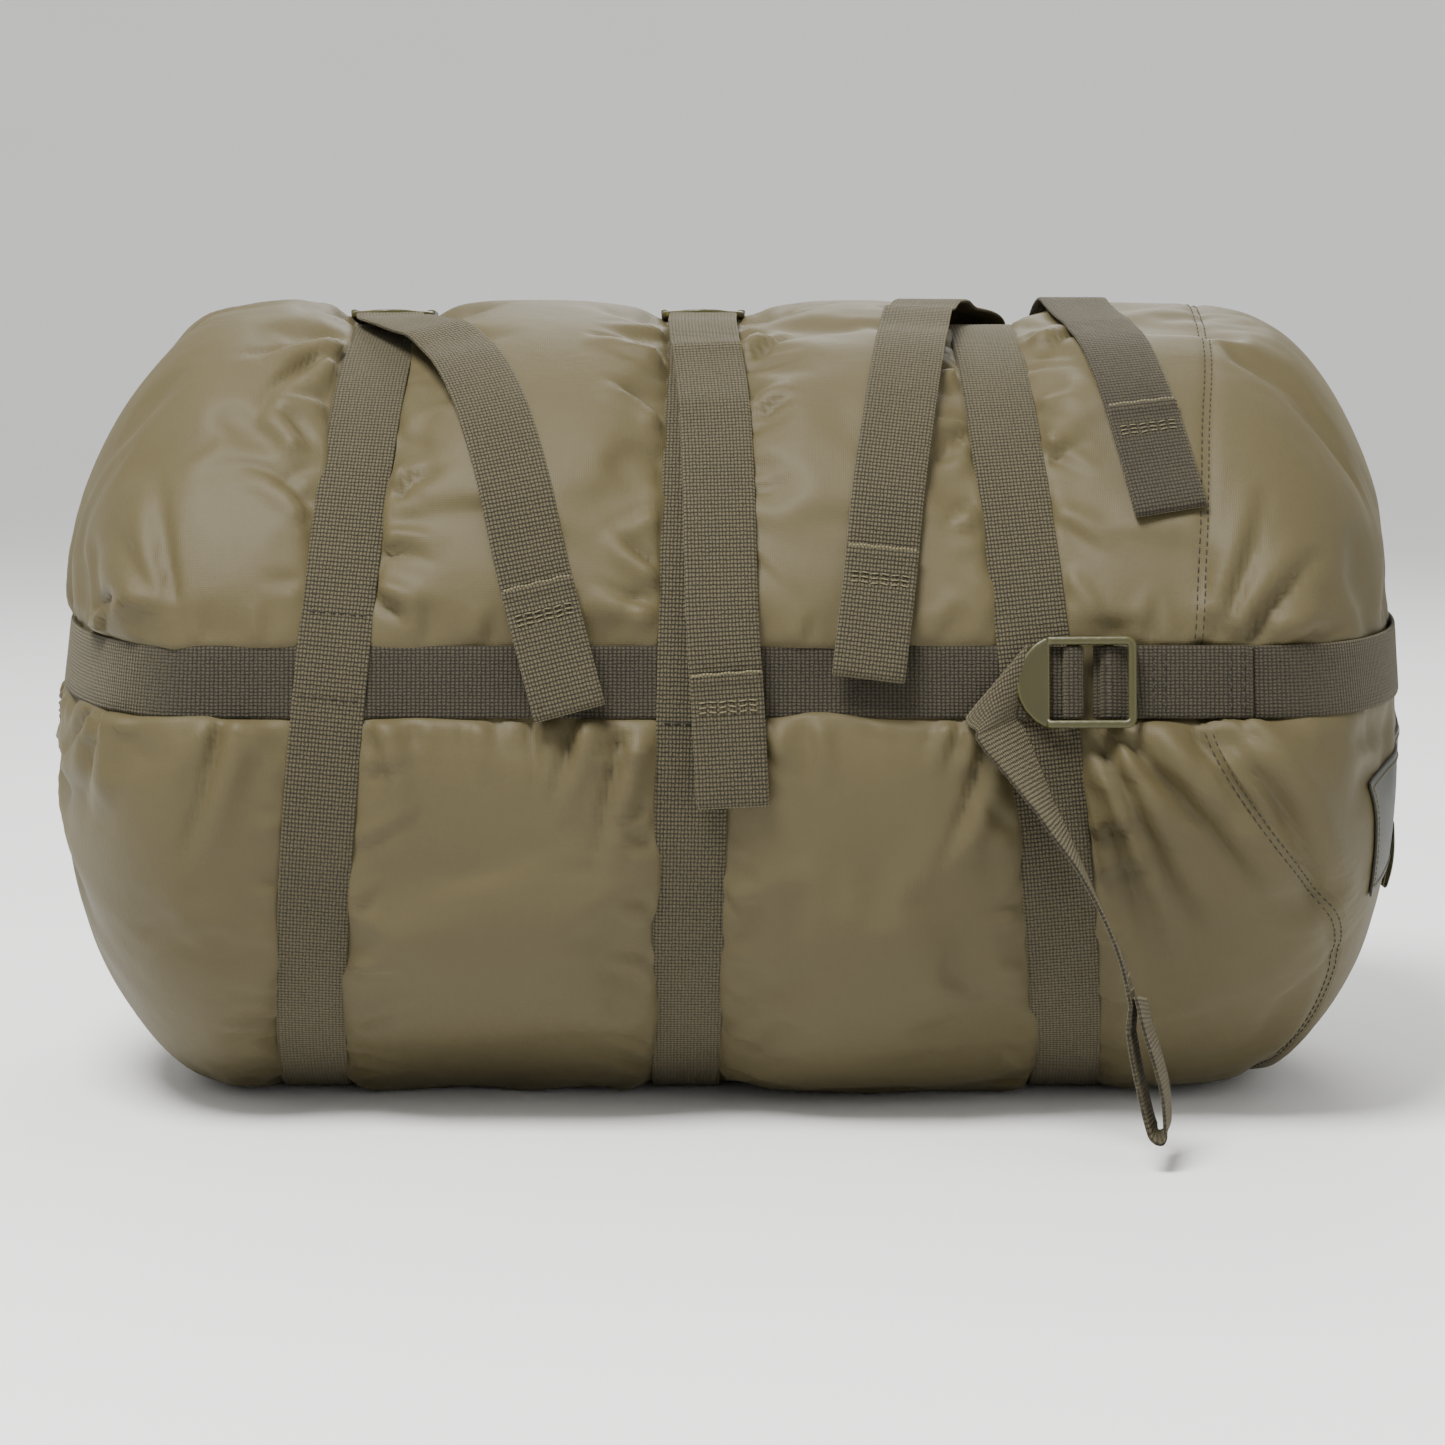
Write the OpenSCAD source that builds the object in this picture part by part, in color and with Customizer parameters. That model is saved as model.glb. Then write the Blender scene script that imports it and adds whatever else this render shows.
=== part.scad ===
// Compression stuff sack, packed full and lying on its side.
// Millimetres. X runs along the sack, the front is -Y and Z is up. The origin is on the
// floor, under the middle of the sack.

/* [Sack] */
// Half of the sack's length
half_length = 248; // [225:1:270]
// Radius of the packed sack
radius = 141; // [130:1:150]
// Height of the sack's long axis above the floor, less than its radius
axis_height = 137.5; // [126:0.5:138]
// Length of each rounded end
end_length = 73; // [60:1:85]
// Thickness of the stuffed wall around the filling
wall = 2.4; // [2.2:0.1:4]
// Place of the end panel's seam along the sack
seam_x = 172; // [150:1:176]

/* [Webbing] */
// Width of the webbing, which the buckles are made for
web_width = 25; // [20:1:25]
// Thickness of the webbing
web_t = 1.4; // [1.2:0.1:1.4]
// Height of the lengthwise belt's middle above the floor
belt_height = 162; // [155:1:166]
// How far each strap's end is doubled back and sewn
sewn_length = 42; // [30:1:50]
// Length of the pull loop sewn in the end of each tail
pull_loop = 43; // [30:1:50]

/* [Hidden] */
FABRIC = "#857a58";
WEBBING = "#5b5340";
PLASTIC = "#6b6740";
gap = 0.05;
fine = 96;
big = 900;

// Each buckle: [x, degrees from the top towards the front, its heading, its pitch].
// Its heading turns its tab towards the front or, on the belt, towards the left end.
LEFT = [-124.4, -12, -88.9, 2.3];
MIDDLE = [-8.3, -12, -89.7, 2.3];
RIGHT = [96.6, -33, -92.9, 2.3];
belt_angle = acos((belt_height - axis_height) / (radius + 2.92));
FRONT = [131, belt_angle, 180, -1];
REAR = [131, -belt_angle, 180, -1];

// Each girth strap's plane: its place along the sack at the top and on the floor
LEFT_PLANE = [-124.5, -150.5];
MIDDLE_PLANE = [-8.3, -14.5];
RIGHT_PLANE = [94.5, 125];

// ---- the sack's form ----
// Each rounded end's outline is a superellipse: the powers along the sack and across it
MOUTH_END = [2.5, 1.4];
PANEL_END = [2.7, 2];
function end_share(t, kind) = pow(1 - pow(t, kind[0]), 1 / kind[1]);
function end_outline(out, kind, steps = 14) = [for (i = [0:steps])
    let (t = sin(90 * i / steps))
    [(radius + out) * end_share(t, kind), half_length + out - end_length * (1 - t)]];
function reversed(list) = [for (i = [len(list) - 1:-1:0]) list[i]];
function whole_outline(out) = concat(
    [for (p = reversed(end_outline(out, MOUTH_END))) [p[0], -p[1]]],
    end_outline(out, PANEL_END));

// The sack's solid form, grown by out and cut flat at floor_z
module form(out, floor_z) {
    intersection() {
        translate([0, 0, axis_height]) rotate([0, 90, 0])
            rotate_extrude($fn = fine) polygon(whole_outline(out));
        translate([-big / 2, -big / 2, floor_z]) cube(big);
    }
}

// The slice of space that a girth strap of the given width lies in
module strap_slice(plane, wide) {
    lean = atan((plane[0] - plane[1]) / (2 * axis_height));
    translate([(plane[0] + plane[1]) / 2, 0, axis_height]) rotate([0, lean, 0])
        cube([wide, big, big], center = true);
}

// The slice that the belt lies in, from x_low to x_high
module belt_slice(x_low, x_high, wide) {
    translate([x_low, -big / 2, belt_height - wide / 2])
        cube([x_high - x_low, big, wide]);
}

// Webbing wrapped on the sack, out from its surface
module wrapped(out) {
    difference() {
        form(out + web_t, 0);
        form(out, web_t + gap);
    }
}

// Webbing doubled back on wrapped webbing, and sunk a little in it
module doubled_over() {
    difference() {
        form(gap + 2 * web_t, 0);
        form(gap + web_t - 0.1, 0);
    }
}

// ---- the sack ----
belt_depth = 1.5;
belt_end_x = 124;
module belt_groove() {
    difference() {
        belt_slice(-big / 2, belt_end_x + 1, web_width + 1);
        form(-belt_depth, -1);
    }
}
module floor_slots() {
    for (plane = [LEFT_PLANE, MIDDLE_PLANE, RIGHT_PLANE])
        intersection() {
            strap_slice(plane, web_width + 1);
            translate([-big / 2, -big / 2, -1]) cube([big, big, 1 + web_t + gap]);
        }
}
mouth_hole = 13;
module shell() {
    difference() {
        form(0, 0);
        form(-wall, wall);
        belt_groove();
        floor_slots();
        translate([-half_length, 0, axis_height]) rotate([0, 90, 0])
            cylinder(r = mouth_hole, h = 60, center = true, $fn = fine);
    }
}
module sack_tube() {
    color(FABRIC) intersection() {
        shell();
        translate([seam_x - big, -big / 2, -1]) cube(big);
    }
}
module end_cap() {
    color(FABRIC) intersection() {
        shell();
        translate([seam_x, -big / 2, -1]) cube(big);
    }
}
module packed_filling() {
    color("#3d4434") difference() {
        form(-wall - gap, wall + gap);
        translate([-half_length, 0, axis_height]) rotate([0, 90, 0])
            cylinder(r = mouth_hole, h = 16, center = true, $fn = fine);
    }
}
// How far along the mouth's end its surface is at a distance from the axis
function end_x(from_axis) = half_length - end_length
    * (1 - pow(1 - pow(from_axis / radius, MOUTH_END[1]), 1 / MOUTH_END[0]));
hem_r = 4.6;
hem_ring = 6.5;
module mouth_hem() {
    color(FABRIC) translate([hem_r - half_length - gap - web_t, 0, axis_height])
        rotate([0, 90, 0]) rotate_extrude($fn = fine)
            translate([hem_ring, 0]) circle(r = hem_r, $fn = 32);
}
// A brass eyelet below the hem, where the drawcord comes out
eyelet_r = 3.6;
eyelet_drop = 22;
module cord_eyelet() {
    color("#8c7a42")
        translate([-end_x(eyelet_drop - eyelet_r) - 0.9, 0, axis_height - eyelet_drop])
            rotate([0, 90, 0]) difference() {
                cylinder(r = eyelet_r, h = 0.8, $fn = 48);
                translate([0, 0, -1]) cylinder(r = 1.9, h = 3, $fn = 48);
            }
}
module label_patch() {
    color("#39382a") intersection() {
        difference() { form(gap + 0.9, 0); form(gap, 0); }
        translate([200, -66, 111]) rotate([12, 0, 0])
            cube([150, 84, 42], center = true);
    }
}
module care_tag() {
    color("#a9a86a") intersection() {
        difference() { form(gap + 2.2, 0); form(gap, 0); }
        translate([230, -32, 80]) cube([60, 15, 17], center = true);
    }
}

// ---- the ladder locks, with the fixed bar at the origin and the tab along +X ----
bar_r = 1.4;
bar_height = 2.92;
loop_in = bar_r + gap;
loop_out = loop_in + web_t;
lock_half = 15.6;
slot_half = 13;
rear_x = -9;
rear_slot_x = -6.4;
front_slot_x = 20.4;
tip_x = 31.6;
grip_x = 12.1;
grip_z = 0.6;
module across(wide) {
    rotate([90, 0, 0]) linear_extrude(wide, center = true) children();
}
module lock_plan() {
    corner = 3.5;
    difference() {
        union() {
            translate([rear_x + corner, -lock_half])
                square([front_slot_x - rear_x - corner, 2 * lock_half]);
            translate([rear_x, corner - lock_half])
                square([corner, 2 * (lock_half - corner)]);
            for (side = [-1, 1])
                translate([rear_x + corner, side * (lock_half - corner)])
                    circle(r = corner, $fn = 48);
            intersection() {
                translate([tip_x - 17, 0]) circle(r = 17, $fn = fine);
                translate([front_slot_x, -lock_half])
                    square([tip_x, 2 * lock_half]);
            }
        }
        translate([rear_slot_x, -slot_half])
            square([front_slot_x - rear_slot_x, 2 * slot_half]);
    }
}
module lock_side() {
    polygon([[rear_x, 4.1], [-8.6, 6], [-6.4, 6.2], [6, 5], [14, 4.2],
        [20.4, 3.4], [24, 2.6], [28, 2.1], [tip_x, 2.3], [tip_x, 0.9], [28, 0.1],
        [24, 0], [20.4, 0], [18, -0.1], [11, -0.6], [8, -1.5], [4, -1.7],
        [-2, -1.7], [-4.6, 0.6], [-6.3, 4.1]]);
}
module rounded_bar(long, tall, grow = 0) {
    r = tall / 2 + grow;
    step = (long - tall) / 2;
    for (side = [-1, 1]) translate([side * step, 0]) circle(r = r, $fn = 48);
    translate([-step, -r]) square([2 * step, 2 * r]);
}
module ladder_lock() {
    color(PLASTIC) union() {
        intersection() {
            translate([0, 0, -20]) linear_extrude(40) lock_plan();
            across(2 * lock_half + 2) lock_side();
        }
        rotate([90, 0, 0])
            cylinder(r = bar_r, h = 2 * slot_half + 1, center = true, $fn = 64);
        translate([grip_x, 0, grip_z])
            across(2 * slot_half + 1) rounded_bar(4, 2.4);
    }
}

// The webbing threaded round the grip bar, and its leg out under the tab
leg_low = -1.5;
module strap_bend(leg_end) {
    color(WEBBING) across(web_width) union() {
        translate([grip_x, grip_z]) difference() {
            rounded_bar(4, 2.4, 0.1 + web_t);
            rounded_bar(4, 2.4, 0.1);
            translate([-10, -20]) square([20, 20]);
        }
        translate([grip_x - 2.1 - web_t, -1.2]) square([web_t, grip_z + 1.2]);
        translate([grip_x + 2.1, leg_low]) square([web_t, grip_z - leg_low]);
        translate([grip_x + 2.1, leg_low])
            square([leg_end - grip_x - 2.1, web_t]);
    }
}
// The sewn loop round the fixed bar, which runs back and down to the strap
module bar_loop(drop) {
    color(WEBBING) across(web_width) difference() {
        union() {
            circle(r = loop_out, $fn = 64);
            polygon([[0, loop_in], [0, loop_out], [-2.4, loop_out - 0.5],
                [-8, web_t * 2 + gap - bar_height - drop],
                [-8, web_t + gap - bar_height - drop], [-2.6, loop_in - 0.6]]);
        }
        circle(r = loop_in, $fn = 64);
    }
}

// ---- placing ----
module on_sack(x, angle, out = 0) {
    translate([x, 0, axis_height]) rotate([angle, 0, 0])
        translate([0, 0, radius + out]) children();
}
// A lock's place at rest: the fixed bar's centre, with the tab along +X
module at_bar(site) {
    on_sack(site[0], site[1], bar_height) rotate([0, 0, site[2]]) children();
}
module at_lock(site) {
    at_bar(site) rotate([0, site[3], 0]) children();
}
// Where a tail comes out under the tab
exit_x = 33.2;
exit_z = leg_low + web_t / 2;

// A girth strap, from its loop round the fixed bar right round to the grip bar
module girth_strap(plane, site) {
    color(WEBBING) {
        difference() {
            intersection() {
                wrapped(gap);
                strap_slice(plane, web_width);
            }
            at_bar(site) translate([1.5, -20, -8]) cube([6, 40, 14]);
        }
        intersection() {
            doubled_over();
            strap_slice(plane, web_width);
            at_bar(site) translate([-7.6 - sewn_length, -30, -30])
                cube([sewn_length, 60, 40]);
        }
        at_bar(site) bar_loop(0.2);
    }
}

// ---- ribbons: webbing along stations ----
function unit(v) = v / norm(v);
function blended(a, b, c, d, t) = 0.5 * (2 * b + (c - a) * t
    + (2 * a - 5 * b + 4 * c - d) * t * t + (3 * b - a - 3 * c + d) * t * t * t);
function smooth(list, per = 2) = let (n = len(list)) concat(
    [for (i = [0:n - 2]) for (k = [0:per - 1])
        blended(list[max(i - 1, 0)], list[i], list[i + 1], list[min(i + 2, n - 1)],
            k / per)],
    [list[n - 1]]);
function heading_at(points, i) = let (n = len(points))
    unit(points[min(i + 1, n - 1)] - points[max(i - 1, 0)]);
function running(points, i = 1, sum = 0) = i >= len(points) ? [sum]
    : concat([sum], running(points, i + 1, sum + norm(points[i] - points[i - 1])));

// Webbing whose inner face follows points, facing faces_out, with a thickness at each
module ribbon(points, faces_out, thick) {
    n = len(points);
    corners = [for (i = [0:n - 1])
        let (along = heading_at(points, i),
            side = unit(cross(faces_out[i], along)) * web_width / 2,
            up = unit(cross(along, side)) * thick[i])
        each [points[i] - side, points[i] + side, points[i] + side + up,
            points[i] - side + up]];
    last = 4 * n - 4;
    polyhedron(corners, concat(
        [[0, 1, 2], [0, 2, 3]],
        [for (i = [0:n - 2]) for (k = [0:3]) let (a = 4 * i, m = (k + 1) % 4)
            each [[a + k, a + k + 4, a + m + 4], [a + k, a + m + 4, a + m]]],
        [[last + 2, last + 1, last], [last + 3, last + 2, last]]));
}

// A route over the sack, as [x, degrees towards the front, height off the sack]
function over_sack(r) = let (far = radius + r[2])
    [r[0], -far * sin(r[1]), axis_height + far * cos(r[1])];
function outwards(r) = [0, -sin(r[1]), cos(r[1])];

// A tail that lies over the sack, with its end doubled into a pull loop
module lying_tail(route) {
    line = smooth(route, 2);
    points = [for (r = line) over_sack(r)];
    walked = running(points);
    sewn_at = walked[len(walked) - 1] - pull_loop;
    ribbon(points, [for (r = line) outwards(r)],
        [for (w = walked) w > sewn_at ? 2 * web_t : web_t]);
}

// Where a girth strap's tail comes out under the tab, then a straight start for it
function exit_out(site) = radius + bar_height - exit_x * sin(site[3])
    + exit_z * cos(site[3]);
function exit_on(site) = exit_x * cos(site[3]) + exit_z * sin(site[3]);
function exit_station(site, on = 0, out = 0) = let (
        along = exit_on(site) + on,
        round = -along * sin(site[2]),
        far = exit_out(site) + out)
    [site[0] + along * cos(site[2]), site[1] + atan(round / far),
        norm([round, far]) - radius - web_t / 2];
function tail_start(site) = [exit_station(site), exit_station(site, 5, -0.2)];

LEFT_ROUTE = concat(tail_start(LEFT), [[-122.6, 6, 4.6], [-119, 10, 5.8],
    [-113, 14.2, 7], [-105.8, 18.6, 8.2], [-98, 23.4, 8.6], [-89.8, 31, 8],
    [-81.5, 40.5, 7], [-73.5, 52, 6.2], [-66.5, 64, 6], [-60, 74, 6], [-53.5, 83.5, 6.4]]);
MIDDLE_ROUTE = concat(tail_start(MIDDLE), [[-8.3, 7, 4.6], [-8.2, 11, 5.2],
    [-7.8, 16, 5.6], [-7, 22, 6], [-5, 31, 5.6], [-3, 44, 5.2], [-2, 57, 5.2],
    [-1, 72, 5.6], [1, 84, 5.8], [2.5, 96, 5.6]]);
RIGHT_ROUTE = concat(tail_start(RIGHT), [[93.9, -15.3, 5.6], [91, -11.9, 6.2],
    [86, -8, 6.4], [80, -3.5, 6.4], [75, 2, 6.2], [71.3, 9, 6], [68.5, 17, 6],
    [65, 28, 6], [61, 40, 6], [56.5, 53, 6], [53, 66, 6], [49, 79, 6.4]]);

// The belt's tails turn over at the edge of their leg: [x, degrees, height]
FRONT_FOLD = [86, 86, 4.2];
REAR_FOLD = [86, -74.3, 4.2];
REAR_ROUTE = [[REAR_FOLD[0], REAR_FOLD[1], REAR_FOLD[2] - web_t / 2],
    [86, -72, 3.9], [87.6, -67.5, 4.6], [92.5, -62.5, 5.4], [100, -57.5, 6],
    [109, -52, 6], [118, -46.5, 6], [124.5, -41, 6], [128, -34, 6], [128.8, -24, 6],
    [129, -12, 6], [130, 0, 6], [135, 14, 6], [140.5, 28, 6], [146, 41, 6],
    [153, 56, 6.4]];

// The front tail hangs free: [x, y, z, degrees that it is turned to the right]
FRONT_ROUTE = [[86, -144.2, 147.6, 0], [86.1, -145, 145, 4], [87, -148, 141, 18],
    [90.5, -152.6, 135, 42], [96.5, -155.6, 127, 60], [104.5, -156.8, 117, 72],
    [114.5, -157.4, 101.5, 80], [125, -158.4, 85.5, 86], [133.5, -160.5, 69, 84],
    [138, -163, 54, 80]];
// Its pull loop, as [x, y, z], is bent round the webbing's width
PULL_ROUTE = [[136.6, -162.5, 57], [137.2, -164.5, 46], [139, -166, 35],
    [141.4, -167.5, 24], [143.6, -169, 15], [145.2, -169.5, 11.2], [148, -169.6, 9.8],
    [150.4, -169.4, 12], [150.8, -169, 17], [150, -168, 26], [147.6, -166.5, 36],
    [144.2, -165, 47], [141.8, -162.5, 57]];
PULL_WIDTH = [sin(10), cos(10), 0];
front_sewn = 14;
function turned(s) = [sin(s[3]), -cos(s[3]), 0];
module hanging_tail() {
    line = smooth(FRONT_ROUTE, 2);
    points = [for (s = line) [s[0], s[1], s[2]]];
    walked = running(points);
    sewn_at = walked[len(walked) - 1] - front_sewn;
    ribbon(points, [for (s = line) turned(s)],
        [for (w = walked) w > sewn_at ? 3 * web_t : web_t]);
}
module hanging_loop() {
    points = smooth(PULL_ROUTE, 2);
    n = len(points);
    ribbon(points,
        [for (i = [0:n - 1]) unit(cross(heading_at(points, i), PULL_WIDTH))],
        [for (p = points) web_t]);
}

// The round root that a tail turns on, across the webbing
root_r = web_t / 2 + 0.06;
module root() {
    cylinder(r = root_r, h = web_width - 0.6, center = true, $fn = 32);
}
module strap_tail(site, route) {
    color(WEBBING) {
        at_lock(site) translate([exit_x, 0, exit_z]) rotate([90, 0, 0]) root();
        lying_tail(route);
    }
}
module fold_root(fold) {
    on_sack(fold[0], fold[1], fold[2]) rotate([0, 90, 0]) root();
}
module rear_belt_tail() {
    color(WEBBING) {
        fold_root(REAR_FOLD);
        lying_tail(REAR_ROUTE);
    }
}
module front_belt_tail() {
    color(WEBBING) {
        fold_root(FRONT_FOLD);
        hanging_tail();
        hanging_loop();
    }
}

module length_belt() {
    color(WEBBING) intersection() {
        difference() {
            form(-gap, 0);
            form(gap - belt_depth, 0);
        }
        belt_slice(-big / 2, belt_end_x, web_width);
    }
}
module end_belt() {
    color(WEBBING) {
        intersection() {
            wrapped(gap);
            belt_slice(FRONT[0] - 1, big / 2, web_width);
        }
        intersection() {
            doubled_over();
            belt_slice(FRONT[0] + 7.6, FRONT[0] + 7.6 + sewn_length, web_width);
        }
        for (site = [FRONT, REAR]) at_bar(site) bar_loop(0);
    }
}

sack_tube();
end_cap();
packed_filling();
mouth_hem();
cord_eyelet();
length_belt();
end_belt();
girth_strap(LEFT_PLANE, LEFT);  // left_girth_strap
girth_strap(MIDDLE_PLANE, MIDDLE);  // middle_girth_strap
girth_strap(RIGHT_PLANE, RIGHT);  // right_girth_strap
at_lock(LEFT) ladder_lock();  // left_ladder_lock
at_lock(MIDDLE) ladder_lock();  // middle_ladder_lock
at_lock(RIGHT) ladder_lock();  // right_ladder_lock
at_lock(FRONT) ladder_lock();  // front_ladder_lock
at_lock(REAR) ladder_lock();  // rear_ladder_lock
at_lock(LEFT) strap_bend(32.3);  // left_strap_bend
at_lock(MIDDLE) strap_bend(32.3);  // middle_strap_bend
at_lock(RIGHT) strap_bend(32.3);  // right_strap_bend
at_lock(FRONT) strap_bend(46);  // front_belt_bend
at_lock(REAR) strap_bend(46);  // rear_belt_bend
strap_tail(LEFT, LEFT_ROUTE);  // left_strap_tail
strap_tail(MIDDLE, MIDDLE_ROUTE);  // middle_strap_tail
strap_tail(RIGHT, RIGHT_ROUTE);  // right_strap_tail
front_belt_tail();
rear_belt_tail();
label_patch();
care_tag();
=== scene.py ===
"""The looks of a packed compression stuff sack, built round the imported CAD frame.

Shapes are worked out in millimetres and turned into metres when a mesh is made. A place on
the sack is given as [x, degrees from the top towards the front, height off the sack].
"""
import math
import bpy
import numpy as np
from mathutils import Matrix, Vector
from mathutils.bvhtree import BVHTree


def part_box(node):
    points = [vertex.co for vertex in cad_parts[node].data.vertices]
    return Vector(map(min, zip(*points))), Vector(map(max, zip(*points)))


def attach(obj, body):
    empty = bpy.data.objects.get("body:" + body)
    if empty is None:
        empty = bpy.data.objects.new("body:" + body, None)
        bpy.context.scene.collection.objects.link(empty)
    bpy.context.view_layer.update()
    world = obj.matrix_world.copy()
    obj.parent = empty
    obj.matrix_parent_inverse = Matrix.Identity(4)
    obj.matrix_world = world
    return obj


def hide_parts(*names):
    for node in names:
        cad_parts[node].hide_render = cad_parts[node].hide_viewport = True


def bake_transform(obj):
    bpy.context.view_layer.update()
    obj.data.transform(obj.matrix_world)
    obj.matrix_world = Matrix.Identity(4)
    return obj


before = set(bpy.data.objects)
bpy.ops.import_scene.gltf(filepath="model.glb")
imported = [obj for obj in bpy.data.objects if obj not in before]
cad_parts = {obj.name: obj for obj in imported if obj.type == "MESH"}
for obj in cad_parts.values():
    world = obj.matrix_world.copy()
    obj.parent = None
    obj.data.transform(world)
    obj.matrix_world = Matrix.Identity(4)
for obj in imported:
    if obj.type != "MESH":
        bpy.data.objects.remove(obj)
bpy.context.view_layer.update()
MM = 0.001

# ---------------------------------------------------------------- sizes from the frame
tube_low, tube_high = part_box("sack_tube")
belt_low, belt_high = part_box("length_belt")
RADIUS = (tube_high.y - tube_low.y) / 2 / MM
AXIS = tube_high.z / MM - RADIUS
HALF = -tube_low.x / MM
SEAM = tube_high.x / MM
END = 73
WEB = (belt_high.z - belt_low.z) / MM
BELT_Z = (belt_high.z + belt_low.z) / 2 / MM
WEB_T = 1.4
STRAIGHT = HALF - END

# How far a lock's fixed bar stands off the sack, and where a tail leaves under its tab
BAR_OUT = 2.92
EXIT_X, EXIT_Z = 33.2, -0.8
BELT_DEG = math.degrees(math.acos((BELT_Z - AXIS) / (RADIUS + BAR_OUT)))
# Each lock: [x, degrees, heading, pitch], as in the part
SITES = {
    "left": (-124.4, -12, -88.9, 2.3),
    "middle": (-8.3, -12, -89.7, 2.3),
    "right": (96.6, -33, -92.9, 2.3),
    "front": (131, BELT_DEG, 180, -1),
    "rear": (131, -BELT_DEG, 180, -1),
}
# Each girth strap's place along the sack at the top and on the floor
PLANES = {"left": (-124.5, -150.5), "middle": (-8.3, -14.5), "right": (94.5, 125)}


def placed(name, data):
    obj = bpy.data.objects.new(name, data)
    bpy.context.scene.collection.objects.link(obj)
    return obj


# ---------------------------------------------------------------- camera
LENS, SENSOR, TILT_DOWN = 106.1, 36, 7
CAMERA_AT = (-0.00094, -1.5881, 0.326)


def add_camera():
    data = bpy.data.cameras.new("camera")
    data.lens, data.sensor_width = LENS, SENSOR
    camera = placed("camera", data)
    camera.location = CAMERA_AT
    camera.rotation_euler = (math.radians(90 - TILT_DOWN), 0, 0)
    bpy.context.scene.camera = camera


add_camera()


# ---------------------------------------------------------------- the sack's form
# Each end's outline is a superellipse, as in the part: the mouth's end, then the panel's
END_POWERS = {-1: (2.5, 1.4), 1: (2.7, 2.0)}


def end_profile(side):
    """Distance along the surface, x and radius, down one rounded end."""
    along, across = END_POWERS[side]
    t = np.sin(np.linspace(0, 1, 400) * math.pi / 2)
    x = STRAIGHT + END * t
    r = RADIUS * (1 - t ** along) ** (1 / across)
    return STRAIGHT + walked(np.column_stack([x, r])), x, r


def walked(points):
    """The distance along a line at each of its points."""
    steps = np.linalg.norm(np.diff(points, axis=0), axis=1)
    return np.concatenate([[0], np.cumsum(steps)])


def along_line(s, run, data):
    """data, one row for each distance in run, at the distance or distances s."""
    return np.stack([np.interp(s, run, column) for column in data.T], -1)


PROFILES = {side: end_profile(side) for side in END_POWERS}
PROFILE_END = {side: PROFILES[side][0][-1] for side in END_POWERS}


def on_profile(m):
    """x and radius of the sack at a distance m along its surface from its middle."""
    far = np.abs(m)
    x, r = far.astype(float), np.full(np.shape(m), RADIUS)
    for side, (run, end_x, end_r) in PROFILES.items():
        here = (far > STRAIGHT) & (np.sign(m) == side)
        x = np.where(here, np.interp(far, run, end_x), x)
        r = np.where(here, np.interp(far, run, end_r), r)
    return np.sign(m) * x, r


def surface(m, deg, out=0.0):
    """Points on the sack, at distance m along it and deg round it, out from it."""
    x, r = on_profile(m)
    x2, r2 = on_profile(m + 0.5)
    x1, r1 = on_profile(m - 0.5)
    steep = np.hypot(x2 - x1, r2 - r1) + 1e-9
    nx, nr = -(r2 - r1) / steep, (x2 - x1) / steep
    turn = np.radians(deg)
    far = r + out * nr
    return np.stack([x + out * nx, -far * np.sin(turn), AXIS + far * np.cos(turn)], -1)


def over_sack(route):
    """Points of a [x, degrees, height] route over the sack's straight part."""
    x, deg, height = np.array(route, float).T
    far, turn = RADIUS + height, np.radians(deg)
    return np.stack([x, -far * np.sin(turn), AXIS + far * np.cos(turn)], -1)


def off_axis(turn):
    """The direction straight off the sack's axis at each turn, in radians."""
    return np.stack([0 * turn, -np.sin(turn), np.cos(turn)], -1)


def plane_x(name, z):
    top, floor = PLANES[name]
    return floor + (top - floor) * z / (2 * AXIS)


# ---------------------------------------------------------------- mesh helpers
def new_object(name, points, faces, uvs=None):
    """A mesh object from millimetre points, with a UV map in millimetres if given."""
    mesh = bpy.data.meshes.new(name)
    mesh.from_pydata([tuple(p) for p in np.asarray(points) * MM], [], [list(f) for f in faces])
    if uvs is not None:
        layer = mesh.uv_layers.new(name="cloth")
        layer.data.foreach_set("uv", np.asarray(uvs, float).reshape(-1))
    mesh.validate()
    mesh.update()
    mesh.polygons.foreach_set("use_smooth", [True] * len(mesh.polygons))
    return placed(name, mesh)


def applied(obj):
    """A new mesh of the object as its modifiers leave it."""
    return bpy.data.meshes.new_from_object(
        obj.evaluated_get(bpy.context.evaluated_depsgraph_get()))


def mesh_data(data, key="co"):
    """Three numbers for each of a mesh's vertices or normals."""
    made = np.empty(len(data) * 3, np.float32)
    data.foreach_get(key, made)
    return made.reshape(-1, 3).astype(float)


def tube_faces(rings, around, closed=False):
    """Quads between rings of the same number of points, back to the first if closed."""
    return [(i * around + j, i * around + (j + 1) % around,
             (i + 1) % rings * around + (j + 1) % around, (i + 1) % rings * around + j)
            for i in range(rings if closed else rings - 1) for j in range(around)]


def loft(rings):
    """Points and faces of a closed solid through rings of the same number of points."""
    k = len(rings[0])
    ends = [tuple(range(k - 1, -1, -1)), tuple((len(rings) - 1) * k + j for j in range(k))]
    return np.concatenate(rings), tube_faces(len(rings), k) + ends


def unit(v):
    return v / np.maximum(np.linalg.norm(v, axis=-1, keepdims=True), 1e-9)


def catmull(points, per=6):
    """Points on a smooth curve through a list of points."""
    p = np.asarray(points, float)
    n = len(p)
    made = []
    for i in range(n - 1):
        a, b, c, d = p[max(i - 1, 0)], p[i], p[i + 1], p[min(i + 2, n - 1)]
        for k in range(per):
            t = k / per
            made.append(0.5 * (2 * b + (c - a) * t + (2 * a - 5 * b + 4 * c - d) * t * t
                               + (3 * b - a - 3 * c + d) * t ** 3))
    return np.array(made + [p[-1]])


def headings(points):
    ahead = np.concatenate([points[1:], points[-1:]])
    behind = np.concatenate([points[:1], points[:-1]])
    return unit(ahead - behind)


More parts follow.
